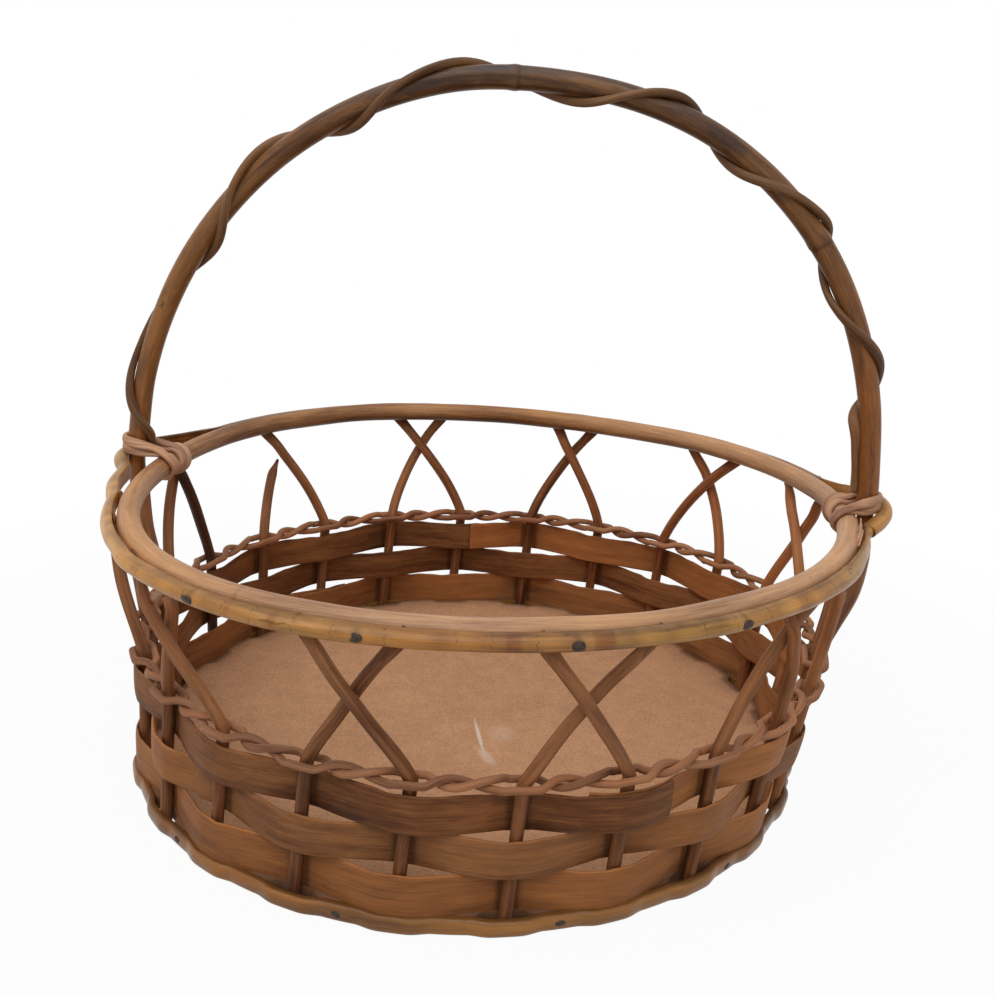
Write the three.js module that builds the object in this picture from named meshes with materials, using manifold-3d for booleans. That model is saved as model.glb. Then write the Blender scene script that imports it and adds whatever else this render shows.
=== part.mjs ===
// Round rattan basket with a tall hoop handle: a board base, 24 cane stakes, three rows of flat splint,
// one row of twining, and a rim of two hoops that grips the stake tops and the feet of the handle.
// Millimetres, +Z up. The origin is at the middle of the base, on the surface that the basket stands on.
// The front is towards -Y, and angles run counter-clockwise from +X, seen from above.
import * as THREE from "three";
import { mergeVertices } from "three/addons/utils/BufferGeometryUtils.js";
import Module from "manifold-3d";

const wasm = await Module();
wasm.setup();

// Driving dimensions

const clearance = 0.3; // between two canes that touch on the real basket
const buttGap = 0.5; // between the two cut ends of a cane ring

// Base
const wallRadius = 171; // middle line of the stakes, at the twining
const baseTaper = 2.3; // how much smaller that radius is on the ground
const baseOval = 5.3; // how much deeper than wide the base is, as a half difference
const twiningOval = 0.8; // the same, at the twining
const boardThickness = 8;
const baseHoopHeight = 7.4;
const baseHoopThickness = 4;
const baseHoopDip = 2; // how far the base hoop is drawn in between two stakes
const baseHoopKink = 0.3; // the share of the way between two stakes over which it is drawn in
const floorGap = 0.3; // base hoop above the ground, so that the board carries the basket

// Stakes
const pairs = 12;
const stakes = 2 * pairs;
const stakeDiameter = 5.8;
const firstStake = 6.4; // angle of the first stake, in degrees
const stakeFoot = 1.2; // height of the cut lower ends
const stakeTopThickness = 1.6; // where a stake is pared flat between the rim hoops
const stakeTopWiden = 1.15;
const stakeBow = 1.3; // 1 leans straight, more leaves the twining upright and bends over later
const crossingGap = 0.6; // between the two stakes of a pair where they cross
const brokenShare = 0.62; // of its way up from the twining, where the broken stake ends
const brokenStake = 9;

// The splints: their row from the bottom, and the stakes at which they begin and end. The end of each lies
// over a beginning, and the top row has two splints.
const splints = [
  { name: "bottom_splint_row", row: 0, from: 8, to: 32 },
  { name: "middle_splint_row", row: 1, from: 15, to: 39 },
  { name: "top_splint_row_front", row: 2, from: 6, to: 19 },
  { name: "top_splint_row_back", row: 2, from: 19, to: 30 },
];

// How far the two stakes of each pair lean over each other, in degrees round the basket
const leans = [
  [18, -9], [10.5, -15], [11.5, -14.5], [14, -13], [12, -12.7], [8, -13.5],
  [13, -13], [11.5, -16], [15, -12.5], [16.5, -13], [18.5, -7], [-5.5, 11.5],
];
const swappedPair = 1; // the one pair whose later stake lies inside

// Weave
const splintHeight = 17;
const splintThickness = 1.5;
const rowGap = 0.8;
const rowStart = 9; // height of the lowest row's lower edge
const lapReach = 5.6; // degrees from the stake at a lap to either end of the lap
const plateau = 1.9; // degrees either side of a stake over which the weave lies flat on it
const strandDiameter = 4;
const strandRise = 2.5; // of a twining strand from the middle line round which the two twist
const twistSteps = 6; // of a strand from one stake to the next

// Rim
const rimRadius = 190; // outside of the outer hoop
const rimHeight = 132; // middle of the inner hoop
const innerHoopDiameter = 10.6;
const outerHoopHeight = 7.6;
const outerHoopThickness = 6;
const outerHoopDrop = 1; // middle of the outer hoop below that of the inner one
const rimShiftX = 5.4;
const rimShiftY = 4.2;
const rimOval = 1.3;
const rimEgg = 3.6;
const rimSquare = -1.5;
const leftFootBulge = 16.5; // of the outer hoop round the left foot of the handle
const rightFootBulge = 10;
const footBulgeReach = 21;
const innerHoopJoint = 166.6;
const outerHoopJoint = 343.4;

// Handle
const handleTurn = -9.7; // direction in which the rim is longest, in degrees
const leftFootTurn = -1.4; // how far the left foot is past that direction
const rightFootTurn = 6.1;
const handleLegDiameter = 10.7;
const handleCrownDiameter = 11.4;
const handleTipDiameter = 5.8;
const footThickness = 8; // of a leg, where it is pared between the hoops
const leftFootOffset = 11.5; // of the foot's middle from the middle of the gap between the hoops
const rightFootOffset = 3.5;
const rightLegBow = 3.6; // how far the right leg bows outwards under the rim
const archInsetLeft = 1.1; // how much narrower each half of the arch is than the way between the feet
const archInsetRight = 0.4;
const archRise = 203; // of the crown's middle above the rim
const springRise = 3; // above the rim, where the arch begins
const archPowerLeft = 1.92;
const archPowerRight = 2.28;
const legTip = 46; // height of the tips, inside the weave
const legBeside = 3.2; // degrees between a leg's tip and the stake that it runs down beside
const leftLegStake = 11; // the leg is past this one
const rightLegStake = 23; // and before this one

// Windings
const wrapDiameter = 4.4;
const lashingDiameter = 3.8;
const lashingPitch = 5;
const lashingStart = 12; // first turn round the inner hoop, from the middle of the foot
const lashingTail = 6; // length of the straight end inside the hoop
const lashingLift = 0.6; // of the first turn round the leg above the inner hoop
const legTurns = 1.75;
const leftWrapTail = 2; // length of the wrap's straight ends, down the inner side of each leg
const rightWrapTail = 32;

// The wrap's way round the handle: share of the arch against turns, from the inner side of the left leg.
// A quarter of a turn brings it to the front, and half a turn to the outside.
const wrapWay = [
  [0.03, 0], [0.0405, 0.25], [0.0825, 0.5], [0.1617, 0.75], [0.204, 1], [0.2419, 1.25],
  [0.2881, 1.5], [0.3272, 1.75], [0.3612, 2], [0.3986, 2.25], [0.4525, 2.5], [0.4943, 2.75],
  [0.5454, 3], [0.5845, 3.25], [0.6218, 3.5], [0.6504, 3.75], [0.6823, 4], [0.7197, 4.25],
  [0.762, 4.5], [0.7824, 4.75], [0.8143, 5], [0.8494, 5.25], [0.8797, 5.5], [0.9055, 5.75], [0.9231, 6],
];

// Nails
const nailDiameter = 1.6;
const nailHeadDiameter = 4;
const nailHeadThickness = 0.9;
const rimNailLength = 13;
const baseNailLength = 14;
const rimNailAngles = [18.5, 42, 72, 104.5, 129, 150, 233, 256, 282, 305];

// Steps and sides of the canes
const caneSides = 6;
const stakeSteps = 9;
const hoopSides = 8;
const hoopSteps = 60;
const handleSteps = 72;
const outerHoopSteps = 108;
const turnSteps = 24; // for each loop of a winding

// Sizes worked out from them

const degree = Math.PI / 180;
const up = new THREE.Vector3(0, 0, 1);
const { lerp, clamp, smoothstep, euclideanModulo } = THREE.MathUtils;
const stakeRadius = stakeDiameter / 2;
const strandRadius = strandDiameter / 2;
const spacing = 360 / stakes;
const boardInset = stakeRadius + clearance;
const rowPitch = splintHeight + rowGap;
const rowsTop = rowStart + 3 * rowPitch - rowGap;
const strandReach = strandRise + strandRadius;
const twiningHeight = rowsTop + clearance + strandReach;
const splintAmplitude = stakeRadius + clearance + splintThickness / 2;
const strandAmplitude = stakeRadius + clearance + strandRadius;
const crossingOffset = stakeRadius + crossingGap / 2;
const innerHoopRadius = innerHoopDiameter / 2;
const gripHalf = stakeTopThickness / 2 + clearance; // from the middle of the gap to either hoop
const gripRadius = rimRadius - outerHoopThickness - gripHalf;
const innerHoopInset = gripHalf + innerHoopRadius;
const outerHoopMiddle = rimHeight - outerHoopDrop;
const gripBottom = rimHeight - innerHoopRadius;
const stakeTop = rimHeight + 1;
const archTop = rimHeight + archRise;
const archSpring = rimHeight + springRise;
const lashingRadius = lashingDiameter / 2;
const wrapRadius = wrapDiameter / 2;
const buttAngle = buttGap / (wallRadius * degree);

// The wall at any height: a slightly uneven ring, whose centre moves from the base to the rim

const levels = [
  { z: 0, radius: wallRadius - baseTaper, x: 0, y: 0, oval: -baseOval, egg: 0, square: 0 },
  { z: twiningHeight, radius: wallRadius, x: rimShiftX, y: 0, oval: -twiningOval, egg: 0, square: 0 },
  {
    z: gripBottom, radius: gripRadius, x: rimShiftX, y: rimShiftY,
    oval: rimOval, egg: rimEgg, square: rimSquare,
  },
];

function levelAt(z) {
  const upper = z < levels[1].z ? 1 : 2;
  const [a, b] = [levels[upper - 1], levels[upper]];
  const share = clamp((z - a.z) / (b.z - a.z), 0, 1);
  const mixed = {};
  for (const key of Object.keys(a)) mixed[key] = lerp(a[key], b[key], share);
  return mixed;
}

function outwardAt(angle) {
  return new THREE.Vector3(Math.cos(angle * degree), Math.sin(angle * degree), 0);
}

// The point of the wall at an angle in degrees and a height, moved outwards by an offset.
function wallPoint(angle, z, offset = 0) {
  const ring = levelAt(z);
  const turned = (angle - handleTurn) * degree;
  const radius = ring.radius + offset + ring.oval * Math.cos(2 * turned)
    + ring.egg * Math.cos(3 * angle * degree) + ring.square * Math.cos(4 * turned);
  return new THREE.Vector3(ring.x, ring.y, z).addScaledVector(outwardAt(angle), radius);
}

// Up along the wall, which isn't quite upright.
function wallUp(angle, z) {
  return wallPoint(angle, z + 5).sub(wallPoint(angle, z - 5));
}

class PathCurve extends THREE.Curve {
  constructor(pointAt) {
    super();
    this.pointAt = pointAt;
  }
  getPoint(t) {
    return this.pointAt(t);
  }
}

// Bars and tubes

// A round bar along z from 0 to 1, before it is bent.
function roundBar(diameter, sides, steps) {
  return new THREE.CylinderGeometry(diameter / 2, diameter / 2, 1, sides, steps)
    .rotateX(Math.PI / 2)
    .translate(0, 0, 0.5);
}

// A half-round bar: x is its height, y goes outwards from its flat face.
function halfRoundBar(height, thickness, steps) {
  const shape = new THREE.Shape();
  shape.moveTo(-height / 2, 0).lineTo(height / 2, 0);
  shape.lineTo(height * 0.36, thickness * 0.75).lineTo(0, thickness);
  shape.lineTo(-height * 0.36, thickness * 0.75).lineTo(-height / 2, 0);
  return new THREE.ExtrudeGeometry(shape, { depth: 1, steps, bevelEnabled: false });
}

// Moves the rings of a straight bar to the given shares of its length.
function spread(bar, shares) {
  const position = bar.getAttribute("position");
  for (let i = 0; i < position.count; i += 1) {
    position.setZ(i, shares[Math.round(position.getZ(i) * (shares.length - 1))]);
  }
  return bar;
}

// Bends a bar along a curve. The bar's x axis follows the guide, and sizeAt scales its section.
function bend(bar, curve, guideAt, sizeAt = () => [1, 1]) {
  const position = bar.getAttribute("position");
  const vertex = new THREE.Vector3();
  for (let i = 0; i < position.count; i += 1) {
    vertex.fromBufferAttribute(position, i);
    const t = clamp(vertex.z, 0, 1);
    const tangent = curve.getTangent(t);
    const across = guideAt(t).clone();
    across.addScaledVector(tangent, -across.dot(tangent)).normalize();
    const beside = new THREE.Vector3().crossVectors(tangent, across);
    const [wide, thick] = sizeAt(t);
    const point = curve.getPoint(t);
    point.addScaledVector(across, vertex.x * wide).addScaledVector(beside, vertex.y * thick);
    position.setXYZ(i, point.x, point.y, point.z);
  }
  bar.computeVertexNormals();
  return bar;
}

// A round tube of constant thickness along a curve.
function tube(curve, diameter, steps) {
  const section = new THREE.Shape(
    Array.from({ length: caneSides }, (_, i) => {
      const turn = (2 * Math.PI * (i + 0.5)) / caneSides;
      return new THREE.Vector2(Math.cos(turn), Math.sin(turn)).multiplyScalar(diameter / 2);
    }),
  );
  return new THREE.ExtrudeGeometry(section, { steps, extrudePath: curve, bevelEnabled: false });
}

// Cuts, with the shared vertices merged first

function solidOf(geometry) {
  const plain = geometry.clone();
  plain.deleteAttribute("normal");
  plain.deleteAttribute("uv");
  const merged = mergeVertices(plain, 1e-3);
  return new wasm.Manifold(new wasm.Mesh({
    numProp: 3,
    vertProperties: new Float32Array(merged.attributes.position.array),
    triVerts: new Uint32Array(merged.index.array),
  }));
}

function geometryOf(solid) {
  const mesh = solid.getMesh();
  const geometry = new THREE.BufferGeometry();
  geometry.setAttribute("position", new THREE.BufferAttribute(mesh.vertProperties, 3));
  geometry.setIndex(new THREE.BufferAttribute(mesh.triVerts, 1));
  geometry.computeVertexNormals();
  return geometry;
}

function cut(geometry, cutters) {
  let solid = solidOf(geometry);
  for (const cutter of cutters) solid = solid.subtract(solidOf(cutter));
  return geometryOf(solid);
}

// Materials

function matte(color, roughness) {
  return new THREE.MeshStandardMaterial({ color, roughness, metalness: 0 });
}

const boardColor = 0xac8062;
const stakeColor = 0x6e4528;
const splintColor = 0x8c623e;
const strandColor = 0xa57d64;
const peeledColor = 0xb08c68;
const rindColor = 0xb9965a;
const handleColor = 0x78502f;
const nailColor = 0x3a3431;

const basket = new THREE.Group();

function add(name, geometry, color, roughness = 0.55, metalness = 0) {
  const finish = matte(color, roughness);
  finish.metalness = metalness;
  const mesh = new THREE.Mesh(geometry, finish);
  mesh.name = name;
  basket.add(mesh);
}

const numbered = (name, index) => name + "_" + String(index + 1).padStart(2, "0");

// Stakes

const stakeAngle = (index) => firstStake + spacing * index;

// How far up its lean, from 0 to 1, a pair of stakes crosses.
function crossingShare(pair) {
  const [earlier, later] = leans[pair];
  return earlier > later ? (spacing / (earlier - later)) ** (1 / stakeBow) : Infinity;
}

// Where the stake stands at a height: its angle and its offset from the wall's middle.
function stakeAt(index, z) {
  const pair = Math.floor(index / 2);
  const later = index % 2;
  const share = clamp((z - twiningHeight) / (stakeTop - twiningHeight), 0, 1);
  const gripShare = (gripBottom - twiningHeight) / (stakeTop - twiningHeight);
  const crossing = crossingShare(pair);
  const apart = crossing < 1
    ? smoothstep(share, 0, crossing - 0.1) - smoothstep(share, crossing + 0.08, gripShare)
    : 0;
  const side = (later === 1) !== (pair === swappedPair) ? 1 : -1;
  return {
    angle: stakeAngle(index) + leans[pair][later] * share ** stakeBow,
    offset: side * crossingOffset * apart,
  };
}

function makeStake(index) {
  const top = index === brokenStake ? lerp(twiningHeight, stakeTop, brokenShare) : stakeTop;
  const upright = (twiningHeight - stakeFoot) / (top - stakeFoot);
  const shares = Array.from({ length: stakeSteps + 1 }, (_, i) => (
    i === 0 ? 0 : lerp(upright, 1, (i - 1) / (stakeSteps - 1))
  ));
  const heightAt = (t) => lerp(stakeFoot, top, t);
  const curve = new PathCurve((t) => {
    const { angle, offset } = stakeAt(index, heightAt(t));
    return wallPoint(angle, heightAt(t), offset);
  });
  const sizeAt = (t) => {
    const share = smoothstep(heightAt(t), gripBottom - 9, gripBottom);
    return [lerp(1, stakeTopThickness / stakeDiameter, share), lerp(1, stakeTopWiden, share)];
  };
  const guideAt = (t) => outwardAt(stakeAt(index, heightAt(t)).angle);
  return bend(spread(roundBar(stakeDiameter, caneSides, stakeSteps), shares), curve, guideAt, sizeAt);
}

for (let i = 0; i < stakes; i += 1) add(numbered("stake", i), makeStake(i), stakeColor, 0.5);

// Weave: a wave that passes outside one stake and inside the next. It lies flat on each stake, and
// reaches further where a leg of the handle stands beside the stake.

const legBefore = (index) => (index === rightLegStake ? legBeside : 0);
const legAfter = (index) => (index === leftLegStake ? legBeside : 0);

// Where an angle lies in the wave: the side at the stake before, and the share of the way to the next.
function waveAt(angle) {
  const place = euclideanModulo(angle - firstStake, 360) / spacing;
  const index = Math.floor(place + 1e-9) % stakes;
  const next = (index + 1) % stakes;
  const start = plateau + legAfter(index);
  const end = spacing - plateau - legBefore(next);
  const within = (place - index) * spacing;
  return { side: index % 2 === 0 ? 1 : -1, share: clamp((within - start) / (end - start), 0, 1) };
}

// The angles from one to another at which the wave bends: either end of each flat, halfway between two
// flats, and beside a leg.
function waveStops(from, to) {
  const stops = [];
  for (let i = Math.floor((from - firstStake) / spacing) - 1; stakeAngle(i) < to + spacing; i += 1) {
    const index = euclideanModulo(i, stakes);
    const start = stakeAngle(i) - legBefore(index);
    const end = stakeAngle(i) + legAfter(index);
    const nextStart = stakeAngle(i + 1) - legBefore((index + 1) % stakes);
    if (end > start) stops.push(start, end);
    stops.push(start - plateau, end + plateau, (end + nextStart) / 2);
  }
  const inside = stops.filter((angle) => angle > from + 0.5 && angle < to - 0.5);
  return [from, ...inside, to].sort((one, other) => one - other);
}

const sharesOf = (stops) => stops.map((angle) => (angle - stops[0]) / (stops.at(-1) - stops[0]));

// A splint. Its later end lies over the beginning of the next one, on the side away from the stake.
function makeSplint({ row, from, to }) {
  const sign = row === 1 ? 1 : -1;
  const middle = rowStart + row * rowPitch + splintHeight / 2;
  const stops = waveStops(stakeAngle(from) - lapReach, stakeAngle(to) + lapReach);
  const angleAt = (t) => lerp(stops[0], stops.at(-1), t);
  const lapSide = sign * (to % 2 === 0 ? 1 : -1);
  const curve = new PathCurve((t) => {
    const { side, share } = waveAt(angleAt(t));
    const wave = sign * side * (1 - 2 * share) * splintAmplitude;
    const over = 1 - smoothstep(stakeAngle(to) - angleAt(t), spacing / 2, spacing - plateau);
    return wallPoint(angleAt(t), middle, wave + lapSide * over * (splintThickness + clearance));
  });
  const steps = stops.length - 1;
  const bar = new THREE.BoxGeometry(splintHeight, splintThickness, 1, 1, 1, steps).translate(0, 0, 0.5);
  return bend(spread(bar, sharesOf(stops)), curve, (t) => wallUp(angleAt(t), middle));
}

for (const each of splints) add(each.name, makeSplint(each), splintColor, 0.6);

// One twining strand. It passes every stake on the same side, and the two strands twist once round each
// other from stake to stake.
function makeStrand(sign, joint) {
  const flats = waveStops(joint + buttAngle / 2, joint + 360 - buttAngle / 2);
  const stops = [flats[0]];
  for (const angle of flats.slice(1)) {
    const twisted = waveAt((stops.at(-1) + angle) / 2).share % 1 > 0;
    const steps = twisted ? twistSteps / 2 : 1;
    const start = stops.at(-1);
    for (let i = 1; i <= steps; i += 1) stops.push(lerp(start, angle, i / steps));
  }
  const curve = new PathCurve((t) => {
    const angle = lerp(stops[0], stops.at(-1), t);
    const { share } = waveAt(angle);
    const reach = lerp(strandRise, strandAmplitude, Math.cos(Math.PI * share) ** 2);
    const offset = sign * reach * Math.cos(2 * Math.PI * share);
    const lift = sign * strandRise * Math.sin(2 * Math.PI * share);
    return wallPoint(angle, twiningHeight, offset).addScaledVector(up, lift);
  });
  const bar = spread(roundBar(strandDiameter, caneSides, stops.length - 1), sharesOf(stops));
  return bend(bar, curve, () => up);
}

add("twining_strand_a", makeStrand(1, stakeAngle(5)), strandColor, 0.6);
add("twining_strand_b", makeStrand(-1, stakeAngle(14)), strandColor, 0.6);

// Nails: a place on the outside of a hoop, the nail along the outward direction, and its hole

function nailPlace(angle, z, offset, wallHeight) {
  return { point: wallPoint(angle, wallHeight, offset).setZ(z), outward: outwardAt(angle) };
}

function placed(geometry, { point, outward }) {
  const turn = new THREE.Quaternion().setFromUnitVectors(new THREE.Vector3(0, 1, 0), outward);
  return geometry.applyQuaternion(turn).translate(point.x, point.y, point.z);
}

function makeNail(length) {
  const shank = nailDiameter / 2;
  const head = nailHeadDiameter / 2;
  const profile = [
    [0, -length], [shank, 2 * shank - length], [shank, clearance], [head, clearance],
    [0, clearance + nailHeadThickness],
  ];
  return new THREE.LatheGeometry(profile.map(([x, y]) => new THREE.Vector2(x, y)), caneSides);
}

function makeHole(length) {
  const radius = nailDiameter / 2 + clearance;
  const tall = length + clearance + nailHeadDiameter;
  return new THREE.CylinderGeometry(radius, radius, tall, caneSides)
    .translate(0, nailHeadDiameter - tall / 2, 0);
}

// Base: the board, and the hoop that is nailed to it between the stakes

const baseHoopFace = stakeRadius + clearance;
const baseHoopMiddle = floorGap + baseHoopHeight / 2;

const baseNails = Array.from({ length: pairs }, (_, i) => {
  const angle = stakeAngle(2 * i) + spacing / 2;
  const offset = baseHoopFace + baseHoopThickness - baseHoopDip;
  return nailPlace(angle, baseHoopMiddle, offset, baseHoopMiddle);
});
const baseHoles = () => baseNails.map((place) => placed(makeHole(baseNailLength), place));

const boardShape = new THREE.Shape(
  Array.from({ length: 3 * stakes }, (_, i) => {
    const point = wallPoint((spacing * i) / 3, 0, -boardInset);
    return new THREE.Vector2(point.x, point.y);
  }),
);
const boardSlab = new THREE.ExtrudeGeometry(boardShape, { depth: boardThickness, bevelEnabled: false });
add("base_board", cut(boardSlab, baseHoles()), boardColor, 0.85);

const baseHoopJoint = stakeAngle(2);
const baseHoopBend = lerp(plateau, spacing - plateau, baseHoopKink);
const baseHoopStops = Array.from({ length: stakes }, (_, i) => baseHoopJoint + spacing * i)
  .flatMap((angle) => [
    angle + plateau, angle + baseHoopBend, angle + spacing - baseHoopBend, angle + spacing - plateau,
  ]);
baseHoopStops.unshift(baseHoopJoint + buttAngle / 2);
baseHoopStops.push(baseHoopJoint + 360 - buttAngle / 2);
const baseHoopAngle = (t) => lerp(baseHoopStops[0], baseHoopStops.at(-1), t);
const baseHoopCurve = new PathCurve((t) => {
  const within = euclideanModulo(baseHoopAngle(t) - firstStake, spacing);
  const share = clamp((within - plateau) / (spacing - 2 * plateau), 0, 1);
  const drawn = smoothstep(share, 0, baseHoopKink) - smoothstep(share, 1 - baseHoopKink, 1);
  return wallPoint(baseHoopAngle(t), baseHoopMiddle, baseHoopFace - baseHoopDip * drawn);
});
const baseHoopBar = halfRoundBar(baseHoopHeight, baseHoopThickness, baseHoopStops.length - 1);
const baseHoopUp = (t) => wallUp(baseHoopAngle(t), baseHoopMiddle + 5);
const baseHoop = bend(spread(baseHoopBar, sharesOf(baseHoopStops)), baseHoopCurve, baseHoopUp);
add("base_hoop", cut(baseHoop, baseHoles()), rindColor, 0.45);

baseNails.forEach((place, i) => {
  add(numbered("base_nail", i), placed(makeNail(baseNailLength), place), nailColor, 0.5, 0.7);
});

// Rim: two hoops with the stake tops between them

const feet = [
  { foot: handleTurn + leftFootTurn + 180, offset: leftFootOffset, bulge: leftFootBulge, bow: 0 },
  { foot: handleTurn + rightFootTurn, offset: rightFootOffset, bulge: rightFootBulge, bow: rightLegBow },
];

// The outer hoop stands off from the stakes where it goes round a foot of the handle.
function bulgeAt(angle) {
  return feet.reduce((sum, { foot, bulge }) => {
    const away = euclideanModulo(angle - foot + 180, 360) - 180;
    return sum + bulge * Math.exp(-(((away * degree * rimRadius) / footBulgeReach) ** 2));
  }, 0);
}

function hoopCurve(joint, z, offsetAt) {
  return new PathCurve((t) => {
    const angle = lerp(joint + buttAngle / 2, joint + 360 - buttAngle / 2, t);
    return wallPoint(angle, gripBottom, offsetAt(angle)).setZ(z);
  });
}

const rimNails = rimNailAngles.map((angle) => (
  nailPlace(angle, outerHoopMiddle, gripHalf + outerHoopThickness + bulgeAt(angle), gripBottom)
));
const rimHoles = () => rimNails.map((place) => placed(makeHole(rimNailLength), place));

const innerHoopCurve = hoopCurve(innerHoopJoint, rimHeight, () => -innerHoopInset);
const innerHoop = bend(roundBar(innerHoopDiameter, hoopSides, hoopSteps), innerHoopCurve, () => up);
add("inner_rim_hoop", cut(innerHoop, rimHoles()), peeledColor, 0.5);

const outerHoopCurve = hoopCurve(outerHoopJoint, outerHoopMiddle, (angle) => gripHalf + bulgeAt(angle));
const outerHoopBar = halfRoundBar(outerHoopHeight, outerHoopThickness, outerHoopSteps);
add("outer_rim_hoop", cut(bend(outerHoopBar, outerHoopCurve, () => up), rimHoles()), rindColor, 0.4);

rimNails.forEach((place, i) => {
  add(numbered("rim_nail", i), placed(makeNail(rimNailLength), place), nailColor, 0.5, 0.7);
});

// Handle: one cane, from a tip in the weave, up between the hoops, over the arch and down again

const [leftFoot, rightFoot] = feet.map(({ foot, offset }) => wallPoint(foot, gripBottom, offset));
const archHalf = leftFoot.distanceTo(rightFoot) / 2;
const handleDirection = rightFoot.clone().sub(leftFoot).normalize();
const handleFront = new THREE.Vector3(handleDirection.y, -handleDirection.x, 0);
const archMiddle = leftFoot.clone().lerp(rightFoot, 0.5).setZ(archSpring);

// The arch from left to right, a super-ellipse with its own span and power on each side.
function archAt(turn) {
  const onLeft = turn < Math.PI / 2;
  const span = archHalf - (onLeft ? archInsetLeft : archInsetRight);
  const power = onLeft ? archPowerLeft : archPowerRight;
  const along = -Math.cos(turn);
  const out = span * Math.sign(along) * Math.abs(along) ** (2 / power);
  return archMiddle.clone()
    .addScaledVector(handleDirection, out)
    .addScaledVector(up, (archTop - archSpring) * Math.sin(turn) ** (2 / power));
}

// A leg's way from the rim down to its tip: it moves over to its stake, and in to the wall's middle.
function legPoints({ foot, offset, bow }, target) {
  const between = [0.79, 0.526, 0.262].map((share) => lerp(twiningHeight, gripBottom, share));
  const inWeave = [twiningHeight + strandDiameter, twiningHeight, lerp(legTip, twiningHeight, 0.5), legTip];
  return [archSpring, gripBottom, ...between, ...inWeave].map((z) => {
    const bowed = smoothstep(z, twiningHeight + 2, between[1]) - smoothstep(z, between[1] + 6, gripBottom);
    const out = offset * smoothstep(z, twiningHeight + 2, gripBottom - 14) + bow * bowed;
    return wallPoint(lerp(target, foot, smoothstep(z, twiningHeight, gripBottom)), z, out);
  });
}

const archPoints = Array.from({ length: 21 }, (_, i) => archAt(Math.PI * lerp(0.025, 0.975, i / 20)));
const leftTarget = stakeAngle(leftLegStake) + legBeside;
const rightTarget = stakeAngle(rightLegStake) - legBeside - 360;
const leftLeg = legPoints(feet[0], leftTarget);
const rightLeg = legPoints(feet[1], rightTarget);
const handleSpline = new THREE.CatmullRomCurve3(
  [...leftLeg.reverse(), ...archPoints, ...rightLeg],
  false,
  "centripetal",
);
handleSpline.arcLengthDivisions = 800;
const handleCurve = new PathCurve((t) => handleSpline.getPointAt(clamp(t, 0, 1)));

// The share of the handle's length at which it passes a height, on its left leg or on its right leg.
function handleShare(z, onRight) {
  let share = 0;
  while (handleSpline.getPointAt(onRight ? 1 - share : share).z < z) share += 0.0005;
  return onRight ? 1 - share : share;
}

function handleDiameterAt(z) {
  const crown = smoothstep(z, lerp(archSpring, archTop, 0.3), lerp(archSpring, archTop, 0.95));
  const leg = smoothstep(z, twiningHeight + 3, gripBottom - 10);
  return lerp(handleTipDiameter, lerp(handleLegDiameter, handleCrownDiameter, crown), leg);
}

function handleSize(t) {
  const { z } = handleCurve.getPoint(t);
  const size = handleDiameterAt(z) / handleLegDiameter;
  const gripTop = rimHeight + innerHoopRadius;
  const grip = smoothstep(z, gripBottom - 14, gripBottom) - smoothstep(z, gripTop, gripTop + 8);
  return [lerp(size, footThickness / handleLegDiameter, grip), size];
}

// Away from the middle of the arch, in the handle's plane.
function handleOut(t) {
  const away = handleCurve.getPoint(t).sub(archMiddle);
  return away.setZ(Math.max(away.z, 0)).normalize();
}

const handleBar = roundBar(handleLegDiameter, 8, handleSteps);
add("handle", bend(handleBar, handleCurve, handleOut, handleSize), handleColor, 0.4);

// Windings

// The least gap from a winding to itself, on points that are further apart along it than a bend is wide.
function leastSelfGap(curve, diameter) {
  const points = curve.getSpacedPoints(700);
  const apart = Math.ceil((2.5 * diameter * 700) / curve.getLength());
  let least = Infinity;
  for (let i = 0; i < points.length; i += 1) {
    for (let j = i + apart; j < points.length; j += 1) {
      least = Math.min(least, points[i].distanceTo(points[j]) - diameter);
    }
  }
  return least;
}

function addWinding(name, curve, diameter, loops) {
  console.log(name + ": least gap to itself " + leastSelfGap(curve, diameter).toFixed(2) + " mm");
  add(name, tube(curve, diameter, Math.round(turnSteps * loops)), strandColor, 0.6);
}

// Handle wrap

const leftSpring = handleShare(archSpring, false);
const rightSpring = handleShare(archSpring, true);

// The point beside the handle at a share of the arch and a number of turns from the inner side.
function besideHandle(share, turns) {
  const t = lerp(leftSpring, rightSpring, share);
  const centre = handleCurve.getPoint(t);
  const tangent = handleCurve.getTangent(t);
  const out = new THREE.Vector3().crossVectors(handleFront, tangent).normalize();
  if (out.dot(centre.clone().sub(archMiddle)) < 0) out.negate();
  const reach = handleDiameterAt(centre.z) / 2 + clearance + wrapRadius;
  return centre
    .addScaledVector(out, -reach * Math.cos(2 * Math.PI * turns))
    .addScaledVector(handleFront, reach * Math.sin(2 * Math.PI * turns));
}

const archLength = handleSpline.getLength() * (rightSpring - leftSpring);
const wrapKeys = [
  [wrapWay[0][0] - leftWrapTail / archLength, 0],
  ...wrapWay,
  [wrapWay.at(-1)[0] + rightWrapTail / archLength, wrapWay.at(-1)[1]],
].map(([share, turns]) => new THREE.Vector3(share * archLength, turns * 12, 0));
const wrapPlan = new THREE.CatmullRomCurve3(wrapKeys, false, "centripetal");
const wrapCurve = new PathCurve((t) => {
  const { x, y } = wrapPlan.getPoint(t);
  return besideHandle(x / archLength, y / 12);
});
addWinding("handle_wrap", wrapCurve, wrapDiameter, wrapWay.at(-1)[1] + 0.5);

// Lashings

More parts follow.
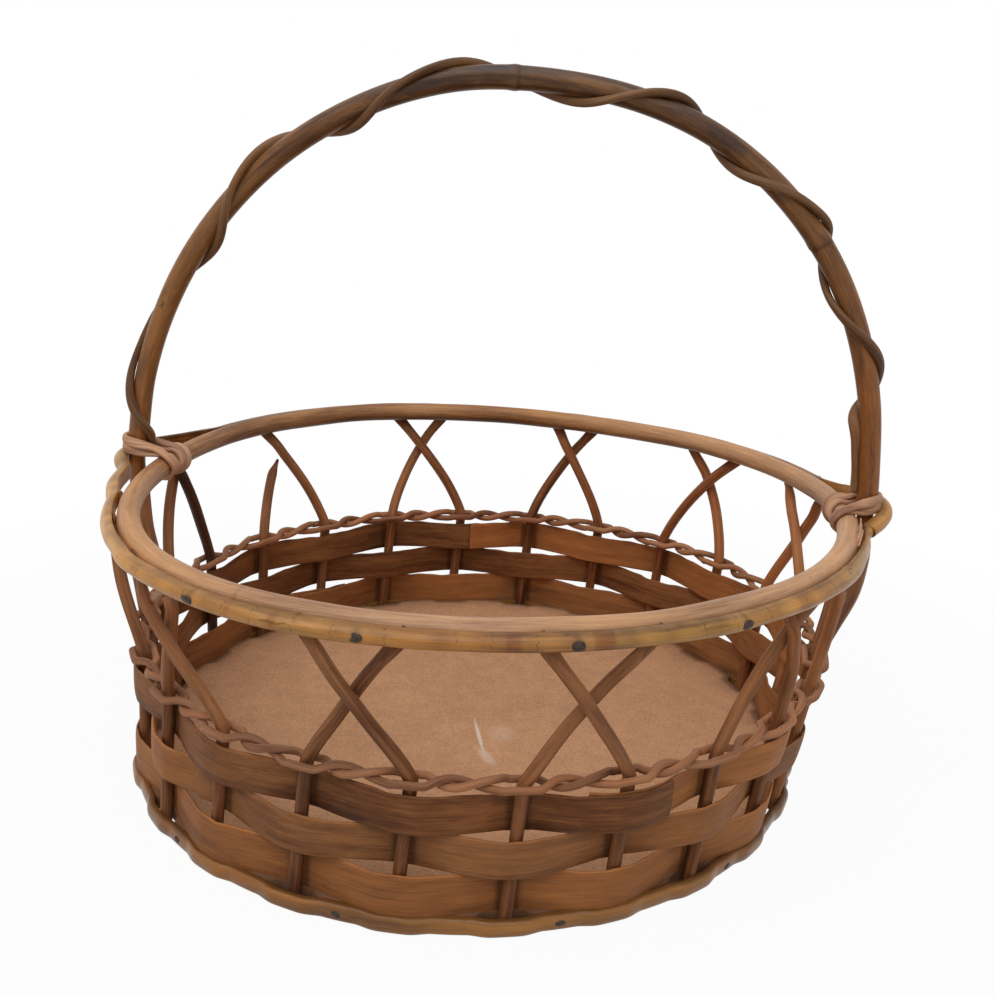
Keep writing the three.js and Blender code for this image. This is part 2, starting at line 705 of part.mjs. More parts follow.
// A lashing: one turn round the inner hoop on the far side of a foot, and then turns round the leg.
function makeLashing(name, foot, onRight) {
  const outward = outwardAt(foot);
  const along = new THREE.Vector3(-outward.y, outward.x, 0).multiplyScalar(onRight ? 1 : -1);
  const around = innerHoopRadius + clearance + lashingRadius;
  const aroundHoop = (turns) => {
    const beside = (lashingStart - lashingPitch * turns) / (gripRadius * degree);
    const offset = -innerHoopInset - around * Math.cos(2 * Math.PI * turns);
    return wallPoint(foot + (onRight ? beside : -beside), gripBottom, offset)
      .setZ(rimHeight + around * Math.sin(2 * Math.PI * turns));
  };
  const aroundLeg = (turns) => {
    const z = rimHeight + around + lashingLift + lashingPitch * turns;
    const centre = handleSpline.getPointAt(handleShare(z, onRight));
    const reach = handleDiameterAt(z) / 2 + clearance + lashingRadius;
    return centre.setZ(z)
      .addScaledVector(along, -reach * Math.sin(2 * Math.PI * turns))
      .addScaledVector(outward, -reach * Math.cos(2 * Math.PI * turns));
  };
  const points = [aroundHoop(0).addScaledVector(up, -lashingTail)];
  for (let i = 0; i <= 9; i += 1) points.push(aroundHoop(i / 8));
  for (let i = 0; i <= 8 * legTurns; i += 1) points.push(aroundLeg(i / 8));
  addWinding(name, new THREE.CatmullRomCurve3(points, false, "centripetal"), lashingDiameter, 1.6 + legTurns);
}

makeLashing("lashing_left", feet[0].foot, false);
makeLashing("lashing_right", feet[1].foot, true);

// The origin goes to the middle of the whole outline, on the surface that the basket stands on.
const outline = new THREE.Box3().setFromObject(basket);
const middle = outline.getCenter(new THREE.Vector3());
basket.position.set(-middle.x, -middle.y, -outline.min.z);

export default basket;
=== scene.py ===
"""A round rattan basket with a tall hoop handle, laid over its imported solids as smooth, detailed canes.

Every cane is a profile carried along a path on the basket's wall, and every path repeats the formulas
that the solids were made with. Lengths are in millimetres, and the origin is under the middle of the
base, until a mesh is made. Angles are in degrees, counter-clockwise from +X seen from above. The front
is towards -Y.
"""

from types import SimpleNamespace
from typing import NamedTuple

import bpy
import numpy as np
from mathutils import Matrix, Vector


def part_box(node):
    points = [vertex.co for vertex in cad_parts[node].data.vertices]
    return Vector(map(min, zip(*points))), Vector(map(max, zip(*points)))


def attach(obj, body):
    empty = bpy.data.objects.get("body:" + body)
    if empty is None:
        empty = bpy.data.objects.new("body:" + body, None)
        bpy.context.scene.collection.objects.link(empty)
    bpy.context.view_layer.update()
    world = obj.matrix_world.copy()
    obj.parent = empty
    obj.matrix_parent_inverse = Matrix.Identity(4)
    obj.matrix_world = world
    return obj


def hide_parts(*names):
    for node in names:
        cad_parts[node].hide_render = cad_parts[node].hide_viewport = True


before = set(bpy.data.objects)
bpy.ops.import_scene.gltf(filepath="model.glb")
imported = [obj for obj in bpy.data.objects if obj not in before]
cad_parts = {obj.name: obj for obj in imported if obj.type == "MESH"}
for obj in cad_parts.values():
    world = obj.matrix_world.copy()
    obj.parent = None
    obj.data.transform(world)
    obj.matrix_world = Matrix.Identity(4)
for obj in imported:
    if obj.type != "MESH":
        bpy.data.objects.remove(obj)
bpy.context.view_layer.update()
BASE_MIDDLE = np.mean(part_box("base_board"), axis=0) * [1.0, 1.0, 0.0]

bl_info = {
    "name": "Rattan basket",
    "version": (1, 0, 0),
    "blender": (4, 5, 0),
    "location": "3D View > Sidebar > Basket",
    "description": "Builds a woven rattan basket with a hoop handle",
    "category": "Object",
}

MILLIMETRE = 0.001
UP = np.array([0.0, 0.0, 1.0])

# The wall. Its ring is given at three heights: the floor, the twining and the lower side of the rim.

CLEARANCE = 0.3
TWINING_HEIGHT = 66.4
GRIP_BOTTOM = 126.7
STAKE_TOP = 133.0
RIM_HEIGHT = 132.0
HANDLE_TURN = -9.7
LEVEL_HEIGHTS = [0.0, TWINING_HEIGHT, GRIP_BOTTOM]
LEVEL_RADII = [168.7, 171.0, 182.9]
LEVEL_SHIFTS_X = [0.0, 5.4, 5.4]
LEVEL_SHIFTS_Y = [0.0, 0.0, 4.2]
LEVEL_OVALS = [-5.3, -0.8, 1.3]
LEVEL_EGGS = [0.0, 0.0, 3.6]
LEVEL_SQUARES = [0.0, 0.0, -1.5]
WEAVE_TURN = 0.7

# Stakes. LEANS holds how far the two stakes of each pair lean round the wall on their way to the rim.

STAKES = 24
SPACING = 15.0
FIRST_STAKE = 6.4
STAKE_FOOT = 1.2
STAKE_BOW = 1.3
STRAIGHTER_BOW = 1.1
STRAIGHTER_PAIRS = (8, 9)
CROSSING_OFFSET = 3.2
SWAPPED_PAIR = 1
BROKEN_STAKE = 9
BROKEN_HEIGHT = 107.7
PARED_THICKNESS = 1.6
STAKE_LIGHTS = {0: 0.24, 10: -0.55, 22: 0.2}
LEANS = (
    (21, -9), (12.5, -16.5), (11.5, -14.5), (14, -13), (12, -12.7), (8, -13.5),
    (13, -13), (11.5, -16), (15.5, -14), (17.6, -14), (18.5, -7), (-5.5, 11.5),
)

# Weave. It lies flat for PLATEAU degrees each side of a stake.

PLATEAU = 1.9
ROW_START = 9.0
ROW_PITCH = 17.8
LAP_REACH = 5.6
BOTTOM_ROW_DROP = 2.6
STRAND_RISE = 1.8
LEFT_LEG_STAKE = 11
RIGHT_LEG_STAKE = 23
LEG_BESIDE = 3.2

# Each splint: its node, its row, the stakes that it starts and stops at, how far it reaches past the
# last one, how light it is outside, how much lighter inside at the back, and how warm.
SPLINTS = (
    ("bottom_splint_row", 0, 8, 32, 5.6, 0.08, 0.14, 0.25),
    ("middle_splint_row", 1, 15, 39, 5.6, 0.0, 0.02, 0.25),
    ("top_splint_row_front", 2, 6, 19, 7.1, -0.24, 0.26, 0.3),
    ("top_splint_row_back", 2, 19, 30, -2.4, 0.14, 0.26, 0.4),
)

# Base and rim

BOARD_REACH = 3.9
BOARD_ROUNDING = 0.9
BASE_NAILS = 12
BASE_HOOP_MIDDLE = 4.0
BASE_HOOP_DIP = 2.0
BASE_HOOP_KINK = 0.3
BASE_HOOP_JOINT = FIRST_STAKE + 2 * SPACING
BUTT_ANGLE = 0.166
INNER_HOOP_INSET = 6.4
OUTER_HOOP_FACE = 1.1
OUTER_HOOP_MIDDLE = 131.0
OUTER_HOOP_THICKNESS = 6.0
INNER_HOOP_JOINT = 166.6
OUTER_HOOP_JOINT = 343.4
RING_MARK = 238.5
RIM_NAIL_ANGLES = (18.5, 42, 72, 104.5, 129, 150, 233, 256, 282, 305)

# Where the hoops are lighter or darker than elsewhere: the angle, the reach each way and by how much
INNER_HOOP_PATCHES = ((38, 28, 0.22), (146, 9, -0.2), (176, 9, -0.1), (245, 9, -0.1), (331, 6, 0.16))
OUTER_HOOP_PATCHES = ((195, 22, 0.22), (281, 8, -0.1), (319, 8, -0.12))

# The outer hoop's way round the feet of the handle: the angle, how far it stands off there, and how far
# it rises. Where it would have to lie inside its usual place, it is thinner instead.
HOOP_WAY = np.array([
    (0.0, 3.4, 9.5), (4.0, -1.5, 7.0), (9.0, -2.6, 3.0), (16.0, -0.5, 0.0), (148.0, 0.0, 0.0),
    (156.0, 5.0, 1.5), (163.0, 13.0, 3.0), (168.9, 16.3, 3.0), (171.4, 13.5, 2.0), (174.8, 5.8, 0.8),
    (181.8, 4.6, 0.0), (186.8, 1.3, 0.0), (190.8, -1.2, 0.0), (202.0, -0.7, 0.0), (211.0, -1.2, 0.0),
    (217.0, 1.0, 0.0), (224.0, 0.0, 0.0), (332.0, 0.0, 0.0), (338.0, -2.0, 0.0), (349.8, -3.0, -0.5),
    (351.9, 2.0, 1.5), (354.1, 6.8, 3.0), (356.4, 10.2, 6.0), (358.2, 8.4, 9.0),
])

# Handle and windings. WRAP_WAY holds the share of the arch's length and the turns made by then.

LEFT_FOOT_ANGLE = 168.9
RIGHT_FOOT_ANGLE = 356.4
LEFT_FOOT_OFFSET = 11.5
RIGHT_FOOT_OFFSET = 3.5
RIGHT_LEG_BOW = 3.6
ARCH_TOP = 335.0
ARCH_SPRING = 135.0
ARCH_POWERS = (1.92, 2.28)
LEG_TIP = 46.0
GRIPPED_WIDTH = 8.0
HANDLE_KNOTS = (0.12, 0.497, 0.705, 0.88)
WRAP_WAY = np.array([
    (0.0187, 0), (0.0402, 0.25), (0.0825, 0.5), (0.1617, 0.75), (0.204, 1), (0.2419, 1.25),
    (0.2881, 1.5), (0.3272, 1.75), (0.3612, 2), (0.3986, 2.25), (0.4525, 2.5), (0.4943, 2.75),
    (0.5454, 3), (0.5845, 3.25), (0.6218, 3.5), (0.6504, 3.75), (0.6823, 4), (0.7197, 4.25),
    (0.762, 4.5), (0.7824, 4.75), (0.8143, 5), (0.8494, 5.25), (0.8797, 5.5), (0.9055, 5.75),
    (0.9231, 6), (0.955, 6), (0.9808, 6),
])

# How fine each mesh is: the rings along it and the sides round it

BOARD_SIDES = 720
BASE_HOOP_MESH = (1100, 28)
STAKE_MESH = (110, 24)
SPLINT_RINGS_PER_DEGREE = 3
SPLINT_SIDES = 36
STRAND_MESH = (2880, 18)
INNER_HOOP_MESH = (900, 40)
OUTER_HOOP_MESH = (1800, 32)
NAIL_SIDES = 20
HANDLE_LINE_POINTS = 2401
HANDLE_MESH = (1000, 36)
WRAP_MESH = (1300, 20)
FLAT_CANE_SIDES = 28
LOOSE_CANE_MESH = (30, 14)


# Numbers along a line


def smooth(value, low, high):
    """0 below low, 1 above high, and 3t^2 - 2t^3 between them."""
    share = np.clip((value - low) / (high - low), 0.0, 1.0)
    return share * share * (3 - 2 * share)


def mixed(one, other, share):
    """one at share 0 and other at share 1, on a straight line between them."""
    return one + (other - one) * share


def bump(value, middle, reach):
    """The bell curve exp(-((value - middle) / reach)^2)."""
    return np.exp(-(((value - middle) / reach) ** 2))


def wander(rng, along, reach):
    """A smooth random line from -1 to 1, which changes its height every reach along."""
    place = (along - along.min()) / reach
    heights = rng.uniform(-1.0, 1.0, int(place.max()) + 3)
    low = np.floor(place).astype(int)
    return mixed(heights[low], heights[low + 1], smooth(place - low, 0.0, 1.0))


def softened(line, steps):
    """The running mean of a line over a number of steps, its ends held."""
    half = steps // 2
    held = np.pad(line, half, mode="edge")
    return np.convolve(held, np.full(2 * half + 1, 1 / (2 * half + 1)), mode="valid")


def unit(vectors):
    """Each vector divided by its length."""
    return vectors / np.linalg.norm(vectors, axis=-1, keepdims=True)


def lengths_along(path):
    """How far each point of a path is from its start, measured along it."""
    return np.concatenate([[0.0], np.cumsum(np.linalg.norm(np.diff(path, axis=0), axis=1))])


def spline(points, steps):
    """A centripetal Catmull-Rom curve: each stretch is a cubic whose end slopes come from the square roots
    of the distances to the points either side. It has the given steps for each stretch."""
    points = np.asarray(points, float)
    held = np.vstack([2 * points[0] - points[1], points, 2 * points[-1] - points[-2]])
    gaps = np.sqrt(np.linalg.norm(np.diff(held, axis=0), axis=1))[:, None]
    before, start, end, after = held[:-3], held[1:-2], held[2:-1], held[3:]
    one, two, three = gaps[:-2], gaps[1:-1], gaps[2:]
    leave = ((start - before) / one - (end - before) / (one + two) + (end - start) / two) * two
    arrive = ((end - start) / two - (after - start) / (two + three) + (after - end) / three) * two
    share = (np.arange(steps) / steps)[None, :, None]
    cubic = (
        start[:, None]
        + leave[:, None] * share
        + (3 * (end - start) - 2 * leave - arrive)[:, None] * share**2
        + (2 * (start - end) + leave + arrive)[:, None] * share**3
    )
    return np.vstack([cubic.reshape(-1, points.shape[1]), points[-1]])


def evenly(path, count):
    """The path again, as points at equal distances along it."""
    along = lengths_along(path)
    stops = np.linspace(0.0, along[-1], count)
    return np.stack([np.interp(stops, along, column) for column in path.T], axis=-1)


# The wall as a surface


def outward_at(angle):
    """The direction away from the middle at an angle."""
    turn = np.radians(angle)
    return np.stack([np.cos(turn), np.sin(turn), np.zeros_like(turn)], axis=-1)


def wall_point(angle, height, offset=0.0):
    """The point of the wall at an angle and a height, moved outwards by an offset. The ring's centre and
    shape change with the height, and its radius is r + oval cos 2(a - h) + egg cos 3a +
    square cos 4(a - h), where h is the direction of the handle. In the weave, each angle a is turned back
    by WEAVE_TURN sin a."""
    angle, height, offset = np.broadcast_arrays(np.asarray(angle, float), height, offset)
    in_weave = 1 - smooth(height, TWINING_HEIGHT, GRIP_BOTTOM)
    angle = angle - WEAVE_TURN * in_weave * np.sin(np.radians(angle))
    turned = np.radians(angle - HANDLE_TURN)

    def level(values):
        return np.interp(height, LEVEL_HEIGHTS, values)

    radius = (
        level(LEVEL_RADII)
        + offset
        + level(LEVEL_OVALS) * np.cos(2 * turned)
        + level(LEVEL_EGGS) * np.cos(3 * np.radians(angle))
        + level(LEVEL_SQUARES) * np.cos(4 * turned)
    )
    middle = np.stack([level(LEVEL_SHIFTS_X), level(LEVEL_SHIFTS_Y), height], axis=-1)
    return middle + radius[..., None] * outward_at(angle)


def wall_up(angle, height):
    """The direction up along the wall, from 5 mm below a height to 5 mm above it."""
    return unit(wall_point(angle, height + 5.0) - wall_point(angle, height - 5.0))


def at_height(points, height):
    """The points again, all at one height or each at its own."""
    heights = np.broadcast_to(height, points.shape[:-1])
    return np.concatenate([points[..., :2], heights[..., None]], axis=-1)


def once_round(joint, count):
    """Angles from one side of a butt joint all the way round to its other side."""
    return np.linspace(joint + BUTT_ANGLE / 2, joint + 360 - BUTT_ANGLE / 2, count)


def stake_angle(index):
    """The angle of a stake in the weave."""
    return FIRST_STAKE + SPACING * index


def stake_line(index, height):
    """A stake's angle and offset at each height. Above the twining it leans by lean * share^bow, and the
    two stakes of a pair step apart where they cross."""
    pair, later = divmod(index, 2)
    bow = STRAIGHTER_BOW if pair in STRAIGHTER_PAIRS else STAKE_BOW
    share = np.clip((height - TWINING_HEIGHT) / (STAKE_TOP - TWINING_HEIGHT), 0.0, 1.0)
    grip_share = (GRIP_BOTTOM - TWINING_HEIGHT) / (STAKE_TOP - TWINING_HEIGHT)
    first, second = LEANS[pair]
    apart = np.zeros_like(share)
    if first - second > SPACING:
        crossing = (SPACING / (first - second)) ** (1 / bow)
        apart = smooth(share, 0.0, crossing - 0.1) - smooth(share, crossing + 0.08, grip_share)
    side = 1 if (later == 1) != (pair == SWAPPED_PAIR) else -1
    return stake_angle(index) + LEANS[pair][later] * share**bow, side * CROSSING_OFFSET * apart


def wave_at(angle):
    """The weave's side at the stake before an angle, and the share of its way across to the next stake. It
    lies flat on each stake, and for longer where a leg of the handle stands beside one."""
    place = np.mod(angle - FIRST_STAKE, 360.0) / SPACING
    index = np.floor(place + 1e-9).astype(int)
    within = (place - index) * SPACING
    start = PLATEAU + np.where(index % STAKES == LEFT_LEG_STAKE, LEG_BESIDE, 0.0)
    end = SPACING - PLATEAU - np.where((index + 1) % STAKES == RIGHT_LEG_STAKE, LEG_BESIDE, 0.0)
    side = np.where(index % 2 == 0, 1.0, -1.0)
    return side, np.clip((within - start) / (end - start), 0.0, 1.0)


# Meshes


def closed_faces(rings, sides):
    """The faces of rings of points with a pole at each end: quads between neighbouring rings, and a fan of
    triangles round each pole. The poles come after all the rings, the first ring's pole first."""
    ring, side = np.meshgrid(np.arange(rings - 1), np.arange(sides), indexing="ij")
    corner, beside = ring * sides + side, ring * sides + (side + 1) % sides
    quads = np.stack([corner, beside, beside + sides, corner + sides], axis=-1).reshape(-1, 4)
    around = np.arange(sides)
    following = (around + 1) % sides
    last = (rings - 1) * sides
    first_fan = np.stack([np.full(sides, rings * sides), following, around], axis=-1)
    last_fan = np.stack([np.full(sides, rings * sides + 1), last + around, last + following], axis=-1)
    return quads, np.vstack([first_fan, last_fan])


def carry(path, guide, across, outward, tone=0.0, bevel=0.4, seed=0):
    """A profile carried along a path. Point j of ring i is path[i] + across[i, j] A + outward[i, j] B,
    where T is the path's direction, A is the guide made square to T and B = T x A. Two smaller rings and a
    pole close each end. The straight attribute keeps where each point was before the cane was bent."""
    count = len(path)
    across, outward = [np.broadcast_to(part, (count, np.shape(part)[-1])) for part in (across, outward)]
    sides = across.shape[1]
    direction = unit(np.gradient(path, axis=0))
    guide = np.broadcast_to(guide, path.shape)
    first_axis = unit(guide - np.sum(guide * direction, axis=1, keepdims=True) * direction)
    second_axis = np.cross(direction, first_axis)
    rows = np.r_[0, 0, np.arange(count), count - 1, count - 1]
    scale = np.r_[0.62, 0.9, np.ones(count), 0.9, 0.62][:, None]
    push = np.r_[-bevel, -0.7 * bevel, np.zeros(count), 0.7 * bevel, bevel]
    x_middle = across.mean(axis=1)[rows][:, None]
    y_middle = outward.mean(axis=1)[rows][:, None]
    x = x_middle + (across[rows] - x_middle) * scale
    y = y_middle + (outward[rows] - y_middle) * scale
    centre = path[rows] + push[:, None] * direction[rows]
    rings = (
        centre[:, None]
        + x[..., None] * first_axis[rows][:, None]
        + y[..., None] * second_axis[rows][:, None]
    )
    ends = [0, -1]
    poles = centre[ends] + x_middle[ends] * first_axis[ends] + y_middle[ends] * second_axis[ends]
    along = np.broadcast_to((lengths_along(path)[rows] + push)[:, None], x.shape)
    straight = np.stack([x, y, along], axis=-1).reshape(-1, 3)
    straight = np.vstack([straight, [0.0, 0.0, along[0, 0]], [0.0, 0.0, along[-1, 0]]])
    shift = np.random.default_rng([seed, 11]).uniform(0.0, 4000.0, 3)
    tone = np.broadcast_to(tone, (count, sides, 3))[rows]
    quads, triangles = closed_faces(len(rows), sides)
    return SimpleNamespace(
        points=np.vstack([rings.reshape(-1, 3), poles]),
        quads=quads,
        triangles=triangles,
        straight=straight + shift,
        tone=np.vstack([tone.reshape(-1, 3), tone[0, 0], tone[-1, 0]]),
    )


def round_profile(diameter, sides, girth=1.0, wide=1.0, thick=1.0):
    """A circle: radius * (cos v, sin v), with its two axes scaled by wide and thick."""
    turn = 2 * np.pi * np.arange(sides) / sides
    radius = np.asarray(girth)[..., None] * diameter / 2
    wide, thick = np.asarray(wide)[..., None], np.asarray(thick)[..., None]
    return radius * wide * np.cos(turn), radius * thick * np.sin(turn)


def half_round_profile(height, thickness, sides, girth=1.0, fullness=0.8):
    """A half circle on a nearly flat face: height / 2 * cos v across, and thickness * (sin v)^fullness
    outwards where that is positive, or a shallow bulge of a third of a millimetre where it isn't."""
    turn = 2 * np.pi * np.arange(sides) / sides
    girth = np.asarray(girth)[..., None]
    bow = np.where(np.sin(turn) > 0, thickness * np.abs(np.sin(turn)) ** fullness, 0.35 * np.sin(turn))
    return girth * height / 2 * np.cos(turn), girth * bow


def flat_profile(height, thickness, sides, crown=0.0):
    """A strip with rounded edges: |cos v|^0.6 across and |sin v|^0.4 in thickness, each with its own sign,
    plus a crown that lifts the middle of both faces outwards."""
    turn = 2 * np.pi * (np.arange(sides) + 0.5) / sides
    across = np.sign(np.cos(turn)) * np.abs(np.cos(turn)) ** 0.6
    through = np.sign(np.sin(turn)) * np.abs(np.sin(turn)) ** 0.4
    return height / 2 * across, thickness / 2 * through + crown * (1 - across**2)


def tones(light=0.0, warm=0.0, stain_and_shade=0.0):
    """Lightness, warmth, and stains with painted shade as the three numbers of the tone attribute. Each may
    be one number, one for each ring or one for each point."""
    parts = [part[:, None] if np.ndim(part) == 1 else part for part in (light, warm, stain_and_shade)]
    return np.stack(np.broadcast_arrays(*parts), axis=-1)


def add_object(name, data):
    """Puts an object with the data into the scene."""
    thing = bpy.data.objects.new(name, data)
    bpy.context.scene.collection.objects.link(thing)
    return thing


def make_piece(name, shells, finish, slot, *nodes):
    """Puts the shells into one mesh, in metres on the frame's origin, and lets it ride on the root in place
    of the nodes."""
    starts = np.cumsum([0] + [len(shell.points) for shell in shells[:-1]])
    points = np.vstack([shell.points for shell in shells]) * MILLIMETRE + BASE_MIDDLE
    quads = np.vstack([shell.quads + start for shell, start in zip(shells, starts)])
    triangles = np.vstack([shell.triangles + start for shell, start in zip(shells, starts)])
    mesh = bpy.data.meshes.new(name)
    mesh.vertices.add(len(points))
    mesh.vertices.foreach_set("co", points.ravel())
    mesh.loops.add(quads.size + triangles.size)
    mesh.polygons.add(len(quads) + len(triangles))
    quad_starts = 4 * np.arange(len(quads))
    triangle_starts = quads.size + 3 * np.arange(len(triangles))
    mesh.polygons.foreach_set("loop_start", np.concatenate([quad_starts, triangle_starts]))
    mesh.polygons.foreach_set("vertices", np.concatenate([quads.ravel(), triangles.ravel()]))
    mesh.polygons.foreach_set("use_smooth", np.ones(len(mesh.polygons), bool))
    for attribute in ("straight", "tone"):
        values = np.vstack([getattr(shell, attribute) for shell in shells]).ravel()
        mesh.attributes.new(attribute, "FLOAT_VECTOR", "POINT").data.foreach_set("vector", values)
    mesh.update(calc_edges=True)
    mesh.validate()
    mesh.materials.append(finish)
    piece = add_object(name, mesh)
    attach(piece, "root")
    if nodes:
        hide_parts(*nodes)


# Finishes


class Signal:
    """A number that changes over the surface. Arithmetic on it adds Math nodes."""

    def __init__(self, finish, socket):
        self.finish = finish
        self.socket = socket

    def maths(self, operation, *values):
        """A Math node's result on the values."""
        return self.finish.node("ShaderNodeMath", {"operation": operation}, dict(enumerate(values)))

    def __add__(self, other):
        return self.maths("ADD", self, other)

    def __sub__(self, other):
        return self.maths("SUBTRACT", self, other)

    def __rsub__(self, other):
        return self.maths("SUBTRACT", other, self)

    def __mul__(self, other):
        return self.maths("MULTIPLY", self, other)

    __radd__ = __add__


class Finish:
    """The nodes of a new material, or of a new world."""

    def __init__(self, name, kind="materials"):
        self.holder = getattr(bpy.data, kind).new(name)
        self.holder.use_nodes = True
        self.tree = self.holder.node_tree
        self.tree.nodes.clear()

    def node(self, kind, settings=None, sockets=None, output=0):
        """Adds a node: its settings, then the values or signals of its sockets. Returns one output."""
        node = self.tree.nodes.new(kind)
        for key, value in (settings or {}).items():
            if key == "stops":
                while len(node.color_ramp.elements) < len(value):
                    node.color_ramp.elements.new(1.0)
                for stop, (place, shade) in zip(node.color_ramp.elements, value):
                    stop.position = place
                    stop.color = (*shade, 1.0)
            else:
                setattr(node, key, value)
        for key, value in (sockets or {}).items():
            if isinstance(value, Signal):
                self.tree.links.new(value.socket, node.inputs[key])
            else:
                node.inputs[key].default_value = value
        return Signal(self, node.outputs[output])

    def attribute(self, name):
        """A vector that the mesh carries."""
        return self.node("ShaderNodeAttribute", {"attribute_name": name}, output="Vector")

    def parts(self, vector):
        """The three numbers of a vector."""
        split = self.node("ShaderNodeSeparateXYZ", sockets={0: vector})
        outputs = split.socket.node.outputs
        return [Signal(self, outputs[i]) for i in range(3)]

    def scaled(self, vector, scale):
        """A vector times three numbers."""
        return self.node("ShaderNodeVectorMath", {"operation": "MULTIPLY"}, {0: vector, 1: scale})

    def noise(self, vector, scale, detail=2.0, roughness=0.5, distortion=0.0):
        """Noise from -0.5 to 0.5 on a vector times three numbers."""
        sockets = {
            "Vector": self.scaled(vector, scale), "Scale": 1.0, "Detail": detail,
            "Roughness": roughness, "Distortion": distortion,
        }
        return self.node("ShaderNodeTexNoise", sockets=sockets) - 0.5

    def above(self, signal, low, high):
        """0 below low and 1 above high."""
        settings = {"interpolation_type": "SMOOTHSTEP"}
        return self.node("ShaderNodeMapRange", settings, {0: signal, 1: low, 2: high, 3: 0.0, 4: 1.0})

    def mix(self, factor, one, other, blend="MIX"):
        """Two colours mixed by a factor."""
        settings = {"data_type": "RGBA", "blend_type": blend}
        sockets = {0: factor, 6: shade4(one), 7: shade4(other)}
        return self.node("ShaderNodeMix", settings, sockets, output=2)

    def seen(self):
        """1 to the camera, in reflections and through glass, and 0 to all other light."""
        rays = ("Is Camera Ray", "Is Glossy Ray", "Is Transmission Ray")
        camera, gloss, through = [self.node("ShaderNodeLightPath", output=ray) for ray in rays]
        return self.node("ShaderNodeClamp", sockets={0: camera + gloss + through})

    def surface(self, colour, roughness, height, depth, **constants):
        """Ends the material: colour, roughness and a height that stands up to depth metres."""
        bump_sockets = {"Height": height, "Distance": depth, "Strength": 1.0}
        normal = self.node("ShaderNodeBump", sockets=bump_sockets)
        sockets = {"Base Color": colour, "Roughness": roughness, "Normal": normal, **constants}
        return self.end(self.node("ShaderNodeBsdfPrincipled", sockets=sockets))

    def end(self, shader, output="ShaderNodeOutputMaterial"):
        """Links the shader to the output, and returns the material or the world."""
        self.tree.links.new(shader.socket, self.tree.nodes.new(output).inputs["Surface"])
        return self.holder


def shade4(colour):
    """A colour with its alpha, or a signal as it is."""
    return colour if isinstance(colour, Signal) else (*colour, 1.0)


def srgb(red, green, blue):
    """A colour's linear values from its 0 to 255 values on a screen."""
    share = np.array([red, green, blue]) / 255
    return tuple(np.where(share <= 0.04045, share / 12.92, ((share + 0.055) / 1.055) ** 2.4))


def times(colour, red, green=None, blue=None):
    """A colour times one number, or times three."""
    factors = (red, green or red, blue or red)
    return tuple(min(part * factor, 1.0) for part, factor in zip(colour, factors))


class CaneLook(NamedTuple):
    """How strongly each part of a cane's finish shows. Where the cane is warm its colour is multiplied by
    warm. The relief is in metres, shine is the specular level, and rings is their number to a millimetre."""

    broad: float
    streak: float
    fibre: float
    stain: float
    spots: float
    rough: float
    warm: tuple
    relief: float
    shine: float
    pore: float = 0.3
    rings: float = 0.0
    coat: float = 0.0
    coat_rough: float = 0.03


RIND_LOOK = CaneLook(
    broad=0.9, streak=0.35, fibre=0.45, stain=0.6, spots=0.6, rough=0.36, warm=(1.05, 0.74, 0.45),
    relief=0.00008, shine=0.3, rings=0.055, coat=0.15, coat_rough=0.3,
)
STAKE_LOOK = CaneLook(
    broad=0.6, streak=0.7, fibre=0.55, stain=0.5, spots=0.5, rough=0.55, warm=(1.2, 0.86, 0.58),
    relief=0.0001, shine=0.2,
)
SPLINT_LOOK = CaneLook(
    broad=0.65, streak=0.3, fibre=0.7, stain=0.6, spots=0.4, rough=0.62, warm=(1.15, 0.9, 0.62),
    relief=0.00014, shine=0.2, pore=0.25,
)
STRAND_LOOK = CaneLook(
    broad=0.5, streak=0.6, fibre=0.6, stain=0.35, spots=0.4, rough=0.6, warm=(1.12, 0.86, 0.62),
    relief=0.00012, shine=0.25,
)
PEELED_LOOK = CaneLook(
    broad=0.35, streak=0.35, fibre=0.65, stain=0.3, spots=0.4, rough=0.48, warm=(1.04, 0.89, 0.6),
    relief=0.00008, shine=0.3,
)
HANDLE_LOOK = CaneLook(
    broad=0.9, streak=0.5, fibre=0.5, stain=1.0, spots=0.85, rough=0.4, warm=(1.25, 0.94, 0.64),
    relief=0.0001, shine=0.28, pore=0.35, coat=0.06, coat_rough=0.35,
)
WRAP_LOOK = STRAND_LOOK._replace(broad=0.8, rough=0.48)
LASHING_LOOK = STRAND_LOOK._replace(broad=0.4)


